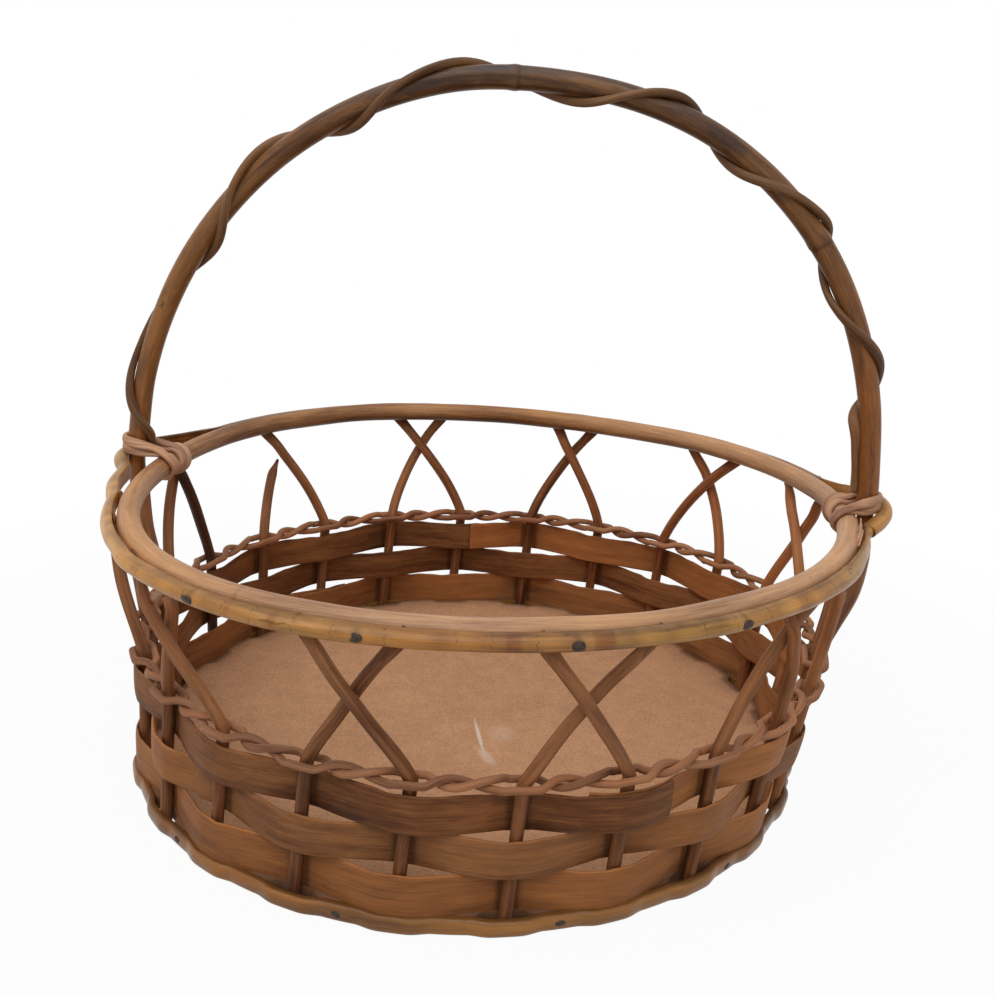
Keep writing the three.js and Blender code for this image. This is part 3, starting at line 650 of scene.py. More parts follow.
def cane_finish(name, colour, look):
    """Cane: broad soft tones, streaks and fine fibres that run along it, from dark to light through its own
    colour, with pores and stains, orange where it is warm and nearly black at marked stains and painted
    shade."""
    finish = Finish(name)
    straight = finish.attribute("straight")
    light, warm, stain_and_shade = finish.parts(finish.attribute("tone"))
    broad = finish.noise(straight, (0.16, 0.16, 0.012), 2.0, 0.5, 0.4)
    streak = finish.noise(straight, (0.6, 0.6, 0.018), 3.0, 0.6, 0.3)
    fibre = finish.noise(straight, (1.7, 1.7, 0.05), 4.0, 0.7)
    stain = finish.noise(straight, (0.22, 0.22, 0.05), 4.0, 0.7, 0.5)
    pore = finish.above(finish.noise(straight, (1.5, 1.5, 0.22), 2.0), 0.2, 0.28)
    value = (
        0.5 + light + broad * look.broad + streak * look.streak + fibre * look.fibre + stain * look.stain
    )
    stops = [
        (0.0, times(colour, 0.16, 0.13, 0.12)),
        (0.25, times(colour, 0.5, 0.44, 0.4)),
        (0.5, colour),
        (0.75, times(colour, 1.45, 1.45, 1.4)),
        (1.0, times(colour, 1.9, 2.0, 2.0)),
    ]
    shade = finish.node("ShaderNodeValToRGB", {"stops": stops}, {0: value})
    shade = finish.mix(warm, shade, finish.mix(1.0, shade, look.warm, "MULTIPLY"))
    spot = finish.above(stain, 0.13, 0.24) * look.spots
    # dark gathers the tone attribute's stains and painted shade, the pores and the stain spots
    dark = stain_and_shade + pore * look.pore + spot
    if look.rings:
        along = finish.parts(straight)[2] + streak * 5.0
        sockets = {"W": along, "Scale": look.rings, "Randomness": 1.0}
        settings = {"voronoi_dimensions": "1D", "feature": "DISTANCE_TO_EDGE"}
        edge = finish.node("ShaderNodeTexVoronoi", settings, sockets)
        broken = finish.above(finish.noise(straight, (0.4, 0.4, 0.05)), -0.1, 0.1)
        dark = dark + (1.0 - finish.above(edge, 0.004, 0.02)) * broken * 0.7
    dark = finish.node("ShaderNodeClamp", sockets={0: dark})
    shade = finish.mix(dark, shade, times(colour, 0.12, 0.1, 0.09))
    roughness = look.rough + fibre * 0.3 + broad * 0.25 + stain_and_shade * 0.25
    height = fibre + streak * 0.8 - pore * 0.5
    constants = {
        "Specular IOR Level": look.shine, "Coat Weight": look.coat, "Coat Roughness": look.coat_rough
    }
    return finish.surface(shade, roughness, height, look.relief, **constants)


# Sizes and colours that a user may change


def length(name, description, millimetres):
    """A length property, in metres as Blender keeps it."""
    return bpy.props.FloatProperty(
        name=name, description=description, default=millimetres / 1000, min=0.0, precision=4,
        unit="LENGTH",
    )


def tint(name, description, *values):
    """A colour property."""
    return bpy.props.FloatVectorProperty(
        name=name, description=description, default=srgb(*values), size=3, min=0.0, max=1.0,
        subtype="COLOR",
    )


class BasketSizes(bpy.types.PropertyGroup):
    """The thicknesses of the canes."""

    board: length("Board", "Thickness of the base board", 8.0)
    base_hoop_height: length("Base hoop height", "Height of the base hoop", 7.4)
    base_hoop_thickness: length("Base hoop thickness", "Thickness of the base hoop", 3.5)
    stake: length("Stake", "Diameter of a stake", 5.8)
    splint_height: length("Splint height", "Height of a splint", 17.0)
    splint_thickness: length("Splint thickness", "Thickness of a splint", 1.5)
    strand: length("Strand", "Diameter of a twining strand", 3.5)
    inner_hoop: length("Inner hoop", "Diameter of the inner rim hoop", 10.6)
    outer_hoop_height: length("Outer hoop height", "Height of the outer rim hoop", 7.6)
    outer_hoop_thickness: length(
        "Outer hoop thickness", "Thickness of the outer rim hoop", OUTER_HOOP_THICKNESS
    )
    leg: length("Leg", "Diameter of the handle at its legs", 10.7)
    crown: length("Crown", "Diameter of the handle at its crown", 11.4)
    tip: length("Tip", "Diameter of the handle's tips in the weave", 5.8)
    wrap: length("Wrap", "Diameter of the cane wound round the handle", 4.4)
    lashing: length("Lashing", "Width of the lashings' flat cane", 5.4)
    nail_head: length("Nail head", "Diameter of a nail's head", 5.4)


class BasketColours(bpy.types.PropertyGroup):
    """The middle colour of each finish."""

    board: tint("Board", "Hardboard of the base", 187, 139, 103)
    stake: tint("Stake", "Stakes", 141, 96, 62)
    splint: tint("Splint", "Flat splints", 132, 87, 52)
    strand: tint("Strand", "Twining strands", 151, 104, 73)
    lashing: tint("Lashing", "Flat cane of the lashings", 184, 142, 114)
    peeled: tint("Peeled cane", "Inner rim hoop", 184, 141, 106)
    rind: tint("Rind cane", "Outer rim hoop and base hoop", 158, 114, 56)
    handle: tint("Handle", "Handle", 116, 79, 43)
    wrap: tint("Wrap", "Cane wound round the handle", 108, 75, 46)
    nail: tint("Nail", "Nails", 50, 42, 38)
    floor: tint("Floor", "Floor", 205, 203, 200)


def millimetres():
    """The scene's basket sizes as numbers of millimetres."""
    group, names = bpy.context.scene.basket_sizes, BasketSizes.__annotations__
    return SimpleNamespace(**{name: getattr(group, name) * 1000 for name in names})


def colours():
    """The scene's basket colours."""
    group, names = bpy.context.scene.basket_colours, BasketColours.__annotations__
    return SimpleNamespace(**{name: tuple(getattr(group, name)) for name in names})


# Base


# The board's pale scuffs: the middle, the turn in degrees, the reach each way and the strength
SCUFFS = (
    ((0.0002, -0.0245, 0.008), 9.0, (0.0013, 0.0230, 1.0), 0.75),
    ((0.0040, -0.0440, 0.008), 20.0, (0.0042, 0.0120, 1.0), 0.35),
    ((0.0115, -0.0190, 0.008), 0.0, (0.0090, 0.0120, 1.0), 0.16),
)


def board_finish(colour):
    """Hardboard: short pressed fibres in all directions, dark specks, soft blotches, pale scuffs and
    painted shade along its edge."""
    finish = Finish("hardboard")
    place = finish.node("ShaderNodeTexCoord", output="Object")
    fibre_one = finish.noise(place, (900.0, 240.0, 200.0), 4.0, 0.7, 0.8)
    fibre_two = finish.noise(place, (240.0, 900.0, 200.0), 4.0, 0.7, 0.8)
    blotch = finish.noise(place, (11.0, 11.0, 11.0), 4.0, 0.6)
    cloud = finish.noise(place, (90.0, 90.0, 90.0), 5.0, 0.7)
    speck = finish.above(finish.noise(place, (520.0, 380.0, 400.0), 2.0, 0.6), 0.2, 0.26)
    fleck = finish.above(finish.noise(place, (760.0, 420.0, 400.0), 2.0, 0.6), 0.2, 0.27)
    grain = finish.noise(place, (900.0, 700.0, 400.0), 3.0, 0.75)
    value = 0.5 + (fibre_one + fibre_two) * 0.4 + grain * 0.75 + blotch * 0.3 + cloud * 0.35
    dark, pale = times(colour, 0.42, 0.38, 0.34), times(colour, 1.6, 1.65, 1.7)
    stops = [(0.0, dark), (0.5, colour), (1.0, pale)]
    shade = finish.node("ShaderNodeValToRGB", {"stops": stops}, {0: value})
    shade = finish.mix(speck * 0.7, shade, times(colour, 0.25, 0.2, 0.18))
    shade = finish.mix(fleck * 0.45, shade, times(colour, 1.5, 1.6, 1.7))
    for middle, turn, reach, strength in SCUFFS:
        rotation = (0.0, 0.0, np.radians(turn))
        sockets = {"Vector": place, "Location": middle, "Rotation": rotation, "Scale": reach}
        scaled = finish.node("ShaderNodeMapping", {"vector_type": "TEXTURE"}, sockets)
        away = finish.node("ShaderNodeVectorMath", {"operation": "LENGTH"}, {0: scaled}, output="Value")
        scuff = 1.0 - finish.above(away + cloud * 0.9 + fibre_one * 0.8, 0.4, 1.05)
        shade = finish.mix(scuff * strength, shade, srgb(226, 208, 192))
    # painted shade along the board's edge, from the tone attribute
    stain_and_shade = finish.parts(finish.attribute("tone"))[2]
    shade = finish.mix(stain_and_shade, shade, times(colour, 0.16, 0.12, 0.1))
    roughness = 0.8 + cloud * 0.3
    height = fibre_one + fibre_two + grain + cloud * 0.8
    return finish.surface(shade, roughness, height, 0.00014, **{"Specular IOR Level": 0.25})


class BASKET_OT_base_board(bpy.types.Operator):
    """Makes the round hardboard base."""

    bl_idname = "basket.base_board"
    bl_label = "Base board"

    def execute(self, context):
        size = millimetres()
        angle = np.linspace(0.0, 360.0, BOARD_SIDES, endpoint=False)
        between = np.mod(angle - FIRST_STAKE, SPACING) / SPACING
        reach = BOARD_REACH * (smooth(between, 0.16, 0.3) - smooth(between, 0.7, 0.84))
        edge = wall_point(angle, 0.0, reach - (size.stake / 2 + CLEARANCE))
        near_edge = (0.945, 0.955, 0.965, 0.975, 0.985, 0.995, 0.9985, 1.0)
        share = np.r_[np.linspace(0.0, 0.93, 38)[1:], near_edge]
        drop = BOARD_ROUNDING * (1 - np.sqrt(1 - smooth(share, 0.985, 1.0) ** 2 * 0.999))
        top = size.board - drop
        share, height = np.r_[share, share[::-1]], np.r_[top, (size.board - top)[::-1]]
        rings = edge[None] * share[:, None, None]
        rings[..., 2] = height[:, None]
        points = np.vstack([rings.reshape(-1, 3), [0.0, 0.0, size.board], [0.0, 0.0, 0.0]])
        # painted shade along the board's edge, next to the wall
        painted_edge_shade = 0.25 * smooth(share, 0.9, 0.97) + 0.55 * smooth(share, 0.96, 0.985)
        stain_and_shade = np.r_[np.repeat(painted_edge_shade, BOARD_SIDES), 0.0, 0.0]
        quads, triangles = closed_faces(len(share), BOARD_SIDES)
        shell = SimpleNamespace(
            points=points, quads=quads[:, [0, 3, 2, 1]], triangles=triangles[:, [0, 2, 1]],
            straight=points, tone=tones(stain_and_shade=stain_and_shade)[:, 0],
        )
        make_piece("hardboard_base", [shell], board_finish(colours().board), "board", "base_board")
        return {"FINISHED"}


class BASKET_OT_base_hoop(bpy.types.Operator):
    """Makes the half-round hoop round the foot of the basket."""

    bl_idname = "basket.base_hoop"
    bl_label = "Base hoop"

    def execute(self, context):
        size = millimetres()
        rng = np.random.default_rng(31)
        rings, sides = BASE_HOOP_MESH
        angle = once_round(BASE_HOOP_JOINT, rings)
        within = np.mod(angle - FIRST_STAKE, SPACING)
        share = np.clip((within - PLATEAU) / (SPACING - 2 * PLATEAU), 0.0, 1.0)
        dip = smooth(share, 0.0, BASE_HOOP_KINK) - smooth(share, 1 - BASE_HOOP_KINK, 1.0)
        path = wall_point(angle, BASE_HOOP_MIDDLE, size.stake / 2 + CLEARANCE - BASE_HOOP_DIP * dip)
        along = lengths_along(path)
        girth = 1 + 0.04 * wander(rng, along, 35.0)
        height, thickness = size.base_hoop_height, size.base_hoop_thickness
        across, outward = half_round_profile(height, thickness, sides, girth, fullness=0.32)
        # a painted highlight along the upper part of the face
        light = 0.12 * wander(rng, along, 60.0)[:, None] + 0.12 * bump(across / height, 0.33, 0.1)
        warm = 0.45 + 0.3 * wander(rng, along, 90.0)
        # the third tone number is painted shade along both edges, against the splint above and the floor
        tone = tones(light, warm, 0.5 * smooth(np.abs(across) / height, 0.41, 0.5))
        shell = carry(path, wall_up(angle, BASE_HOOP_MIDDLE + 5.0), across, outward, tone, seed=31)
        colour = times(colours().rind, 0.68, 0.66, 0.68)
        finish = cane_finish("base_rind", colour, RIND_LOOK._replace(rings=0.0))
        make_piece("base_cane_hoop", [shell], finish, "rind_cane", "base_hoop")
        return {"FINISHED"}


# Stakes


def stake_shell(index, size):
    """One stake, pared flat between the rim hoops. The broken one tapers to a ragged point."""
    rng = np.random.default_rng([41, index])
    rings, sides = STAKE_MESH
    top = BROKEN_HEIGHT if index == BROKEN_STAKE else STAKE_TOP
    height = np.linspace(STAKE_FOOT, top, rings)
    angle, offset = stake_line(index, height)
    free = smooth(height, TWINING_HEIGHT, TWINING_HEIGHT + 20) * (1 - smooth(height, 110.0, GRIP_BOTTOM))
    angle = angle + 0.16 * free * wander(rng, height, 22.0)
    path = wall_point(angle, height, offset)
    grip = smooth(height, GRIP_BOTTOM - 9.0, GRIP_BOTTOM)
    girth = 1 + 0.035 * wander(rng, height, 24.0)
    if index == BROKEN_STAKE:
        broken = smooth(height, top - 8.0, top)
        girth = girth * mixed(1.0, 0.35, broken) * (1 + 0.15 * wander(rng, height, 2.5) * broken)
        path = path + 0.9 * broken[:, None] * np.cross(outward_at(angle), UP)
    wide, thick = mixed(1.0, PARED_THICKNESS / size.stake, grip), mixed(1.0, 1.15, grip)
    across, outward = round_profile(size.stake, sides, girth, wide, thick)
    right_back = bump(np.mod(stake_angle(index), 360.0), 40.0, 50.0)
    light = STAKE_LIGHTS.get(index, rng.uniform(-0.14, 0.1))
    light = light + 0.08 * wander(rng, height, 30.0) - 0.16 * smooth(-height, -70.0, -58.0)
    warm = 0.3 + 0.5 * right_back * (index != 0) + 0.15 * wander(rng, height, 40.0)
    # the third tone number is painted shade on the stake's top, under and between the rim hoops
    tone = tones(light, np.clip(warm, 0.0, 1.0), 0.25 * smooth(height, 120.0, 128.0))
    return carry(path, outward_at(angle), across, outward, tone, seed=100 + index)


class BASKET_OT_stakes(bpy.types.Operator):
    """Makes the 24 stakes."""

    bl_idname = "basket.stakes"
    bl_label = "Stakes"

    def execute(self, context):
        finish = cane_finish("stake_cane", colours().stake, STAKE_LOOK)
        for index in range(STAKES):
            name = f"stake_{index + 1:02d}"
            make_piece("cane_" + name, [stake_shell(index, millimetres())], finish, "stake_cane", name)
        return {"FINISHED"}


# Weave


def splint_shell(row, start, stop, reach, light, inside_light, warm, size):
    """A splint: 1 - 2 * share between the flats on two stakes, softened at the kinks, and one splint
    thicker where its end lies over the beginning of the next."""
    rng = np.random.default_rng([51, row, start])
    sign = 1 if row == 1 else -1
    middle = ROW_START + row * ROW_PITCH + size.splint_height / 2
    first, last = stake_angle(start) - LAP_REACH, stake_angle(stop) + reach
    angle = np.linspace(first, last, int((last - first) * SPLINT_RINGS_PER_DEGREE))
    side, share = wave_at(angle)
    amplitude = size.stake / 2 + CLEARANCE + size.splint_thickness / 2
    wave = softened(sign * side * (1 - 2 * share) * amplitude, 5)
    over = 1 - smooth(stake_angle(stop) - angle, SPACING / 2, SPACING - PLATEAU)
    lap_side = sign * (1 if stop % 2 == 0 else -1)
    offset = wave + lap_side * over * (size.splint_thickness + CLEARANCE)
    along = np.radians(angle) * 172.0
    path = wall_point(angle, middle + 0.5 * wander(rng, along, 45.0), offset)

    # The edges: uneven above, and lower on the bottom row
    across, outward = flat_profile(size.splint_height, size.splint_thickness, SPLINT_SIDES, 0.2)
    top_edge = (0.45 * wander(rng, along, 7.0) + 0.35 * wander(rng, along, 30.0))[:, None]
    # rim marks the top edge, which carries a painted highlight on the outer face
    rim = smooth(across / size.splint_height, 0.44, 0.5)
    low_edge = 0.25 * wander(rng, along, 18.0)[:, None] * (across < 0)
    across = across + np.where(across > size.splint_height * 0.3, top_edge, low_edge)
    across = across - BOTTOM_ROW_DROP * (across < 0) * (row == 0)

    # The tones: the left, the right front, the inside at the back, a painted highlight along the top edge,
    # and painted shadows beside the stakes
    turn = np.mod(angle, 360.0)
    left, right, far = bump(turn, 215.0, 32.0), bump(turn, 318.0, 20.0), bump(turn, 90.0, 80.0)[:, None]
    light = light + 0.13 * wander(rng, along, 45.0) + 0.11 * left + 0.16 * right * (row != 1)
    inner, outer = outward < 0, outward > 0
    # the last term is a painted highlight along the top edge of the outer face
    light = light[:, None] - 0.08 * inner + inside_light * inner * far + 0.26 * rim * outer
    warm = warm + 0.25 * wander(rng, along, 80.0) - 0.15 * left - 0.3 * right
    beside = np.mod(angle - FIRST_STAKE + SPACING / 2, SPACING) - SPACING / 2
    # painted shadows on the splint's face beside each stake that it passes behind
    shadow = bump(np.abs(beside), 1.25, 0.55)[:, None]
    touch = shadow * np.where(wave[:, None] < 0, outer, inner) * (wave[:, None] != 0)
    tone = tones(light, np.clip(warm, 0.0, 1.0), 0.6 * touch)
    guide = wall_up(angle, np.full_like(angle, middle))
    return carry(path, guide, across, outward, tone, 0.1, 200 + row * 10 + start)


class BASKET_OT_splints(bpy.types.Operator):
    """Makes the three rows of flat splint."""

    bl_idname = "basket.splints"
    bl_label = "Splints"

    def execute(self, context):
        finish = cane_finish("splint_cane", colours().splint, SPLINT_LOOK)
        for name, *plan in SPLINTS:
            make_piece("woven_" + name, [splint_shell(*plan, millimetres())], finish, "splint", name)
        return {"FINISHED"}


def strand_shell(sign, joint, size, seed):
    """One twining strand. Offset and lift are cos and sin of a whole turn from stake to stake, so that it
    passes every stake on the same side and twists once round the other strand between two stakes. The cos
    reaches further at the stakes."""
    rng = np.random.default_rng([61, seed])
    rings, sides = STRAND_MESH
    angle = once_round(joint, rings)
    turn = 2 * np.pi * wave_at(angle)[1]
    amplitude = size.stake / 2 + 0.2 + size.strand / 2
    reach = mixed(STRAND_RISE, amplitude, np.cos(turn / 2) ** 6)
    drift = 0.4 * wander(np.random.default_rng(60), np.mod(angle - 3.0, 360.0), 11.0)
    path = wall_point(angle, TWINING_HEIGHT, sign * reach * np.cos(turn))
    path[:, 2] += sign * STRAND_RISE * np.sin(turn) + drift
    girth = 1 + 0.06 * wander(rng, angle, 5.0)
    across, outward = round_profile(size.strand, sides, girth)
    middle = np.mod(angle, 360.0)
    back, right = bump(middle, 90.0, 70.0), bump(middle, 345.0, 35.0)
    light = 0.16 * wander(rng, angle, 12.0) - 0.03 * back + 0.1 * right
    warm = np.clip(0.2 + 0.3 * wander(rng, angle, 25.0), 0, 1)
    # the third tone number is painted shade on the strand's lower side
    tone = tones(light, warm, 0.35 * smooth(-across / size.strand, 0.25, 0.5))
    return carry(path, UP, across, outward, tone, seed=300 + seed)


class BASKET_OT_twining(bpy.types.Operator):
    """Makes the two twining strands."""

    bl_idname = "basket.twining"
    bl_label = "Twining"

    def execute(self, context):
        finish = cane_finish("strand_cane", colours().strand, STRAND_LOOK)
        for letter, sign, post in (("a", 1, 5), ("b", -1, 14)):
            shell = strand_shell(sign, stake_angle(post), millimetres(), post)
            make_piece("twined_cane_" + letter, [shell], finish, "strand_cane", "twining_strand_" + letter)
        return {"FINISHED"}


# Rim


def patches(angle, plan):
    """The sum of a hoop's lighter and darker patches at each angle, each a bell curve."""
    return sum(light * bump(angle, place, reach) for place, reach, light in plan)


def hoop_way(angle):
    """How far the outer hoop stands off at an angle, how far it rises and how thick it is against its
    usual thickness. Straight lines between the places of HOOP_WAY are softened over 2.4 degrees."""
    off, rise = [
        np.mean([
            np.interp(np.mod(angle + step, 360.0), HOOP_WAY[:, 0], HOOP_WAY[:, column], period=360.0)
            for step in np.linspace(-1.2, 1.2, 9)
        ], axis=0)
        for column in (1, 2)
    ]
    return np.maximum(off, 0.0), rise, 1 + np.minimum(off, 0.0) / OUTER_HOOP_THICKNESS


def inner_hoop_shell(size, rng):
    """The round, peeled hoop: lighter at the front, warmer at the left and behind, with painted shade on its
    underside and one dark ring.
    """
    rings, sides = INNER_HOOP_MESH
    angle = once_round(INNER_HOOP_JOINT, rings)
    path = at_height(wall_point(angle, GRIP_BOTTOM, -INNER_HOOP_INSET), RIM_HEIGHT)
    path[:, 2] += 0.4 * wander(rng, angle, 14.0)
    girth = 1 + 0.025 * wander(rng, angle, 8.0)
    across, outward = round_profile(size.inner_hoop, sides, girth)
    middle = np.mod(angle, 360.0)
    left, back = bump(middle, 190.0, 40.0), bump(middle, 85.0, 62.0)
    painted_underside_shade = smooth(-across / across.max(), -0.1, 0.9)
    light = 0.07 * wander(rng, angle, 15.0) - 0.22 * back - 0.01 * left
    light = light + patches(middle, INNER_HOOP_PATCHES)
    # painted shade on the underside, stronger behind
    light = light[:, None] - (0.12 + 0.2 * back[:, None]) * painted_underside_shade
    warm = 0.12 + 0.75 * left + 0.85 * back - 0.35 * bump(middle, 45.0, 30.0)
    warm = warm + 0.15 * wander(rng, angle, 20.0)
    mark = 0.5 * bump(middle + 0.5 * wander(rng, angle, 3.0), RING_MARK, 0.22)
    tone = tones(light, np.clip(warm, 0.0, 1.0), mark)
    return carry(path, UP, across, outward, tone, 1.6, 71)


def outer_hoop_shell(size, rng):
    """The half-round hoop: darker behind, orange in patches at the front, stained at each nail, and with
    painted shade along its top edge.
    """
    rings, sides = OUTER_HOOP_MESH
    angle = once_round(OUTER_HOOP_JOINT, rings)
    off, rise, thick = hoop_way(angle)
    path = at_height(wall_point(angle, GRIP_BOTTOM, OUTER_HOOP_FACE + off), OUTER_HOOP_MIDDLE + rise)
    path[:, 2] += 0.45 * wander(rng, angle, 11.0)
    girth = 1 + 0.035 * wander(rng, angle, 5.0)
    height = size.outer_hoop_height
    across, outward = half_round_profile(height, size.outer_hoop_thickness, sides, girth)
    middle = np.mod(angle, 360.0)
    front = bump(middle, 270.0, 40.0)
    far = smooth(middle, 8.0, 30.0) - smooth(middle, 162.0, 172.0)
    light = 0.1 * wander(rng, angle, 9.0) + 0.1 * wander(rng, angle, 2.5) - 0.17 * front + 0.15 - 0.4 * far
    light = light + patches(middle, OUTER_HOOP_PATCHES)
    orange = smooth(wander(rng, angle, 3.5) + 0.5 * wander(rng, angle, 1.2), 0.35, 0.6)
    warm = 0.12 + 0.25 * wander(rng, angle, 14.0) + 0.75 * orange * front + 0.6 * far
    warm = np.clip(warm + 0.5 * bump(middle, 267.0, 18.0), 0, 1)
    nail_angles = np.r_[RIM_NAIL_ANGLES, np.add(RIM_NAIL_ANGLES, 360)]
    nails = np.min(np.abs(angle[:, None] - nail_angles), axis=1)
    stain = 0.5 * bump(nails, 0.0, 0.65)[:, None]
    # painted shade along the top edge, by the gap to the inner hoop
    painted_top_shade = smooth(across / height, 0.36, 0.5) * (0.35 + 0.2 * wander(rng, angle, 2.0)[:, None])
    tone = tones(light - 0.1 * orange, warm, np.maximum(stain, painted_top_shade))
    return carry(path, UP, across, outward * thick[:, None], tone, 0.8, 72)


class BASKET_OT_rim(bpy.types.Operator):
    """Makes the two hoops of the rim."""

    bl_idname = "basket.rim"
    bl_label = "Rim hoops"

    def execute(self, context):
        size, rng = millimetres(), np.random.default_rng(71)
        finish = cane_finish("peeled_cane", colours().peeled, PEELED_LOOK)
        shell = inner_hoop_shell(size, rng)
        make_piece("inner_cane_hoop", [shell], finish, "peeled_cane", "inner_rim_hoop")
        finish = cane_finish("rind_cane", colours().rind, RIND_LOOK)
        shell = outer_hoop_shell(size, rng)
        make_piece("outer_cane_hoop", [shell], finish, "rind_cane", "outer_rim_hoop")
        return {"FINISHED"}


# Nails


def nail_shell(place, outward, length_in, head, seed):
    """A nail: a shank and a domed, slightly crooked head turned round the outward direction. The outline
    gives each ring's depth and radius."""
    rng = np.random.default_rng([81, seed])
    depth = np.array([-length_in, -length_in + 1.6, -3.0, -1.2, -0.9, -0.6, -0.2, 0.15, 0.28])
    radius = np.array([0.15, 0.8, 0.8, 0.8, 0.9, 0.47 * head, 0.51 * head, 0.42 * head, 0.16 * head])
    tilt = rng.uniform(-0.12, 0.12, 2)
    axis = unit(outward + tilt[0] * UP + tilt[1] * np.cross(outward, UP))
    turn = 2 * np.pi * np.arange(NAIL_SIDES) / NAIL_SIDES
    oval, lobes = rng.uniform(0, 6), rng.uniform(0, 6)
    wobble = 1 + 0.07 * np.cos(2 * turn + oval) + 0.04 * np.cos(3 * turn + lobes)
    across = radius[:, None] * wobble * np.cos(turn) * 0.72
    beside = radius[:, None] * wobble * np.sin(turn) * 1.15
    return carry(place + depth[:, None] * axis, UP, across, beside, tones(), 0.05, 400 + seed)


def nail_finish(colour):
    """Old steel: dark, with brown rust in patches and a worn grey glint."""
    finish = Finish("old_steel")
    straight = finish.attribute("straight")
    rust = finish.above(finish.noise(straight, (0.9, 0.9, 0.9), 4.0, 0.7), -0.06, 0.14)
    scratch = finish.noise(straight, (4.0, 4.0, 4.0), 3.0, 0.6)
    shade = finish.mix(rust, times(colour, 1.6), srgb(62, 38, 26))
    return finish.surface(shade, 0.38 + rust * 0.4 + scratch * 0.2, scratch, 0.0001, Metallic=0.6)


class BASKET_OT_nails(bpy.types.Operator):
    """Makes the nails of the rim and the base."""

    bl_idname = "basket.nails"
    bl_label = "Nails"

    def execute(self, context):
        size = millimetres()
        finish = nail_finish(colours().nail)
        for number, angle in enumerate(map(float, RIM_NAIL_ANGLES)):
            off, rise, thick = hoop_way(angle)
            offset = OUTER_HOOP_FACE + size.outer_hoop_thickness * thick + off
            place = at_height(wall_point(angle, GRIP_BOTTOM, offset), OUTER_HOOP_MIDDLE + rise)
            shell = nail_shell(place, outward_at(angle), 13.0, size.nail_head, number)
            name = f"rim_nail_{number + 1:02d}"
            make_piece("steel_" + name, [shell], finish, "nail", name)
        for number in range(BASE_NAILS):
            angle = stake_angle(2 * number) + SPACING / 2
            offset = size.stake / 2 + CLEARANCE + size.base_hoop_thickness - BASE_HOOP_DIP
            place = wall_point(angle, BASE_HOOP_MIDDLE, offset)
            shell = nail_shell(place, outward_at(angle), 14.0, size.nail_head * 0.8, 20 + number)
            name = f"base_nail_{number + 1:02d}"
            make_piece("steel_" + name, [shell], finish, "nail", name)
        return {"FINISHED"}


# Handle


LEFT_FOOT = wall_point(LEFT_FOOT_ANGLE, GRIP_BOTTOM, LEFT_FOOT_OFFSET)
RIGHT_FOOT = wall_point(RIGHT_FOOT_ANGLE, GRIP_BOTTOM, RIGHT_FOOT_OFFSET)
HANDLE_WAY = unit(RIGHT_FOOT - LEFT_FOOT)
HANDLE_FRONT = np.cross(HANDLE_WAY, UP)
ARCH_HALF = np.linalg.norm(RIGHT_FOOT - LEFT_FOOT) / 2
ARCH_MIDDLE = at_height((LEFT_FOOT + RIGHT_FOOT) / 2, ARCH_SPRING)


def arch_point(share):
    """The arch from left to right: a super-ellipse, with one power for its left half and one for its
    right."""
    turn = np.pi * share
    left = turn < np.pi / 2
    power = np.where(left, *ARCH_POWERS)
    along = -np.cos(turn)
    out = (ARCH_HALF - np.where(left, 1.1, 0.4)) * np.sign(along) * np.abs(along) ** (2 / power)
    rise = (ARCH_TOP - ARCH_SPRING) * np.sin(turn) ** (2 / power)
    return ARCH_MIDDLE + out[:, None] * HANDLE_WAY + rise[:, None] * UP


def leg_points(foot, target, foot_offset, bow):
    """A leg's points from the rim down to its tip: it moves over to its stake, bows out under the rim, and
    comes in to the wall's middle."""
    between = mixed(TWINING_HEIGHT, GRIP_BOTTOM, np.array([0.79, 0.526, 0.262]))
    in_weave = [TWINING_HEIGHT + 4, TWINING_HEIGHT, (LEG_TIP + TWINING_HEIGHT) / 2, LEG_TIP]
    height = np.r_[ARCH_SPRING, GRIP_BOTTOM, between, in_weave]
    angle = mixed(target, foot, smooth(height, TWINING_HEIGHT, GRIP_BOTTOM))
    bow_start, bow_end = between[1], between[1] + 6
    bowed = smooth(height, TWINING_HEIGHT + 2, bow_start) - smooth(height, bow_end, GRIP_BOTTOM)
    offset = foot_offset * smooth(height, TWINING_HEIGHT + 2, GRIP_BOTTOM - 14) + bow * bowed
    return wall_point(angle, height, offset)


def handle_line():
    """The handle's middle line at even steps."""
    left_target = stake_angle(LEFT_LEG_STAKE) + LEG_BESIDE
    right_target = stake_angle(RIGHT_LEG_STAKE) - LEG_BESIDE
    left = leg_points(LEFT_FOOT_ANGLE, left_target, LEFT_FOOT_OFFSET, 0.0)
    right = leg_points(RIGHT_FOOT_ANGLE, right_target, RIGHT_FOOT_OFFSET, RIGHT_LEG_BOW)
    points = np.vstack([left[::-1], arch_point(np.linspace(0.025, 0.975, 21)), right])
    return evenly(spline(points, 60), HANDLE_LINE_POINTS)


def handle_share(line, height, on_right):
    """The share of the handle's length at which one of its legs passes a height."""
    crown = int(np.argmax(line[:, 2]))
    share = np.linspace(0.0, 1.0, len(line))
    if on_right:
        return np.interp(height, line[crown:, 2][::-1], share[crown:][::-1])
    return np.interp(height, line[:crown, 2], share[:crown])


def handle_diameter(height, size):
    """From the tips through the legs to the crown, in two smooth steps."""
    crown = smooth(height, mixed(ARCH_SPRING, ARCH_TOP, 0.3), mixed(ARCH_SPRING, ARCH_TOP, 0.95))
    leg = smooth(height, TWINING_HEIGHT + 3, GRIP_BOTTOM - 10)
    return mixed(size.tip, mixed(size.leg, size.crown, crown), leg)


def along_line(line, share):
    """The point of a line at a share of its length."""
    steps = np.linspace(0.0, 1.0, len(line))
    return np.stack([np.interp(share, steps, column) for column in line.T], axis=-1)


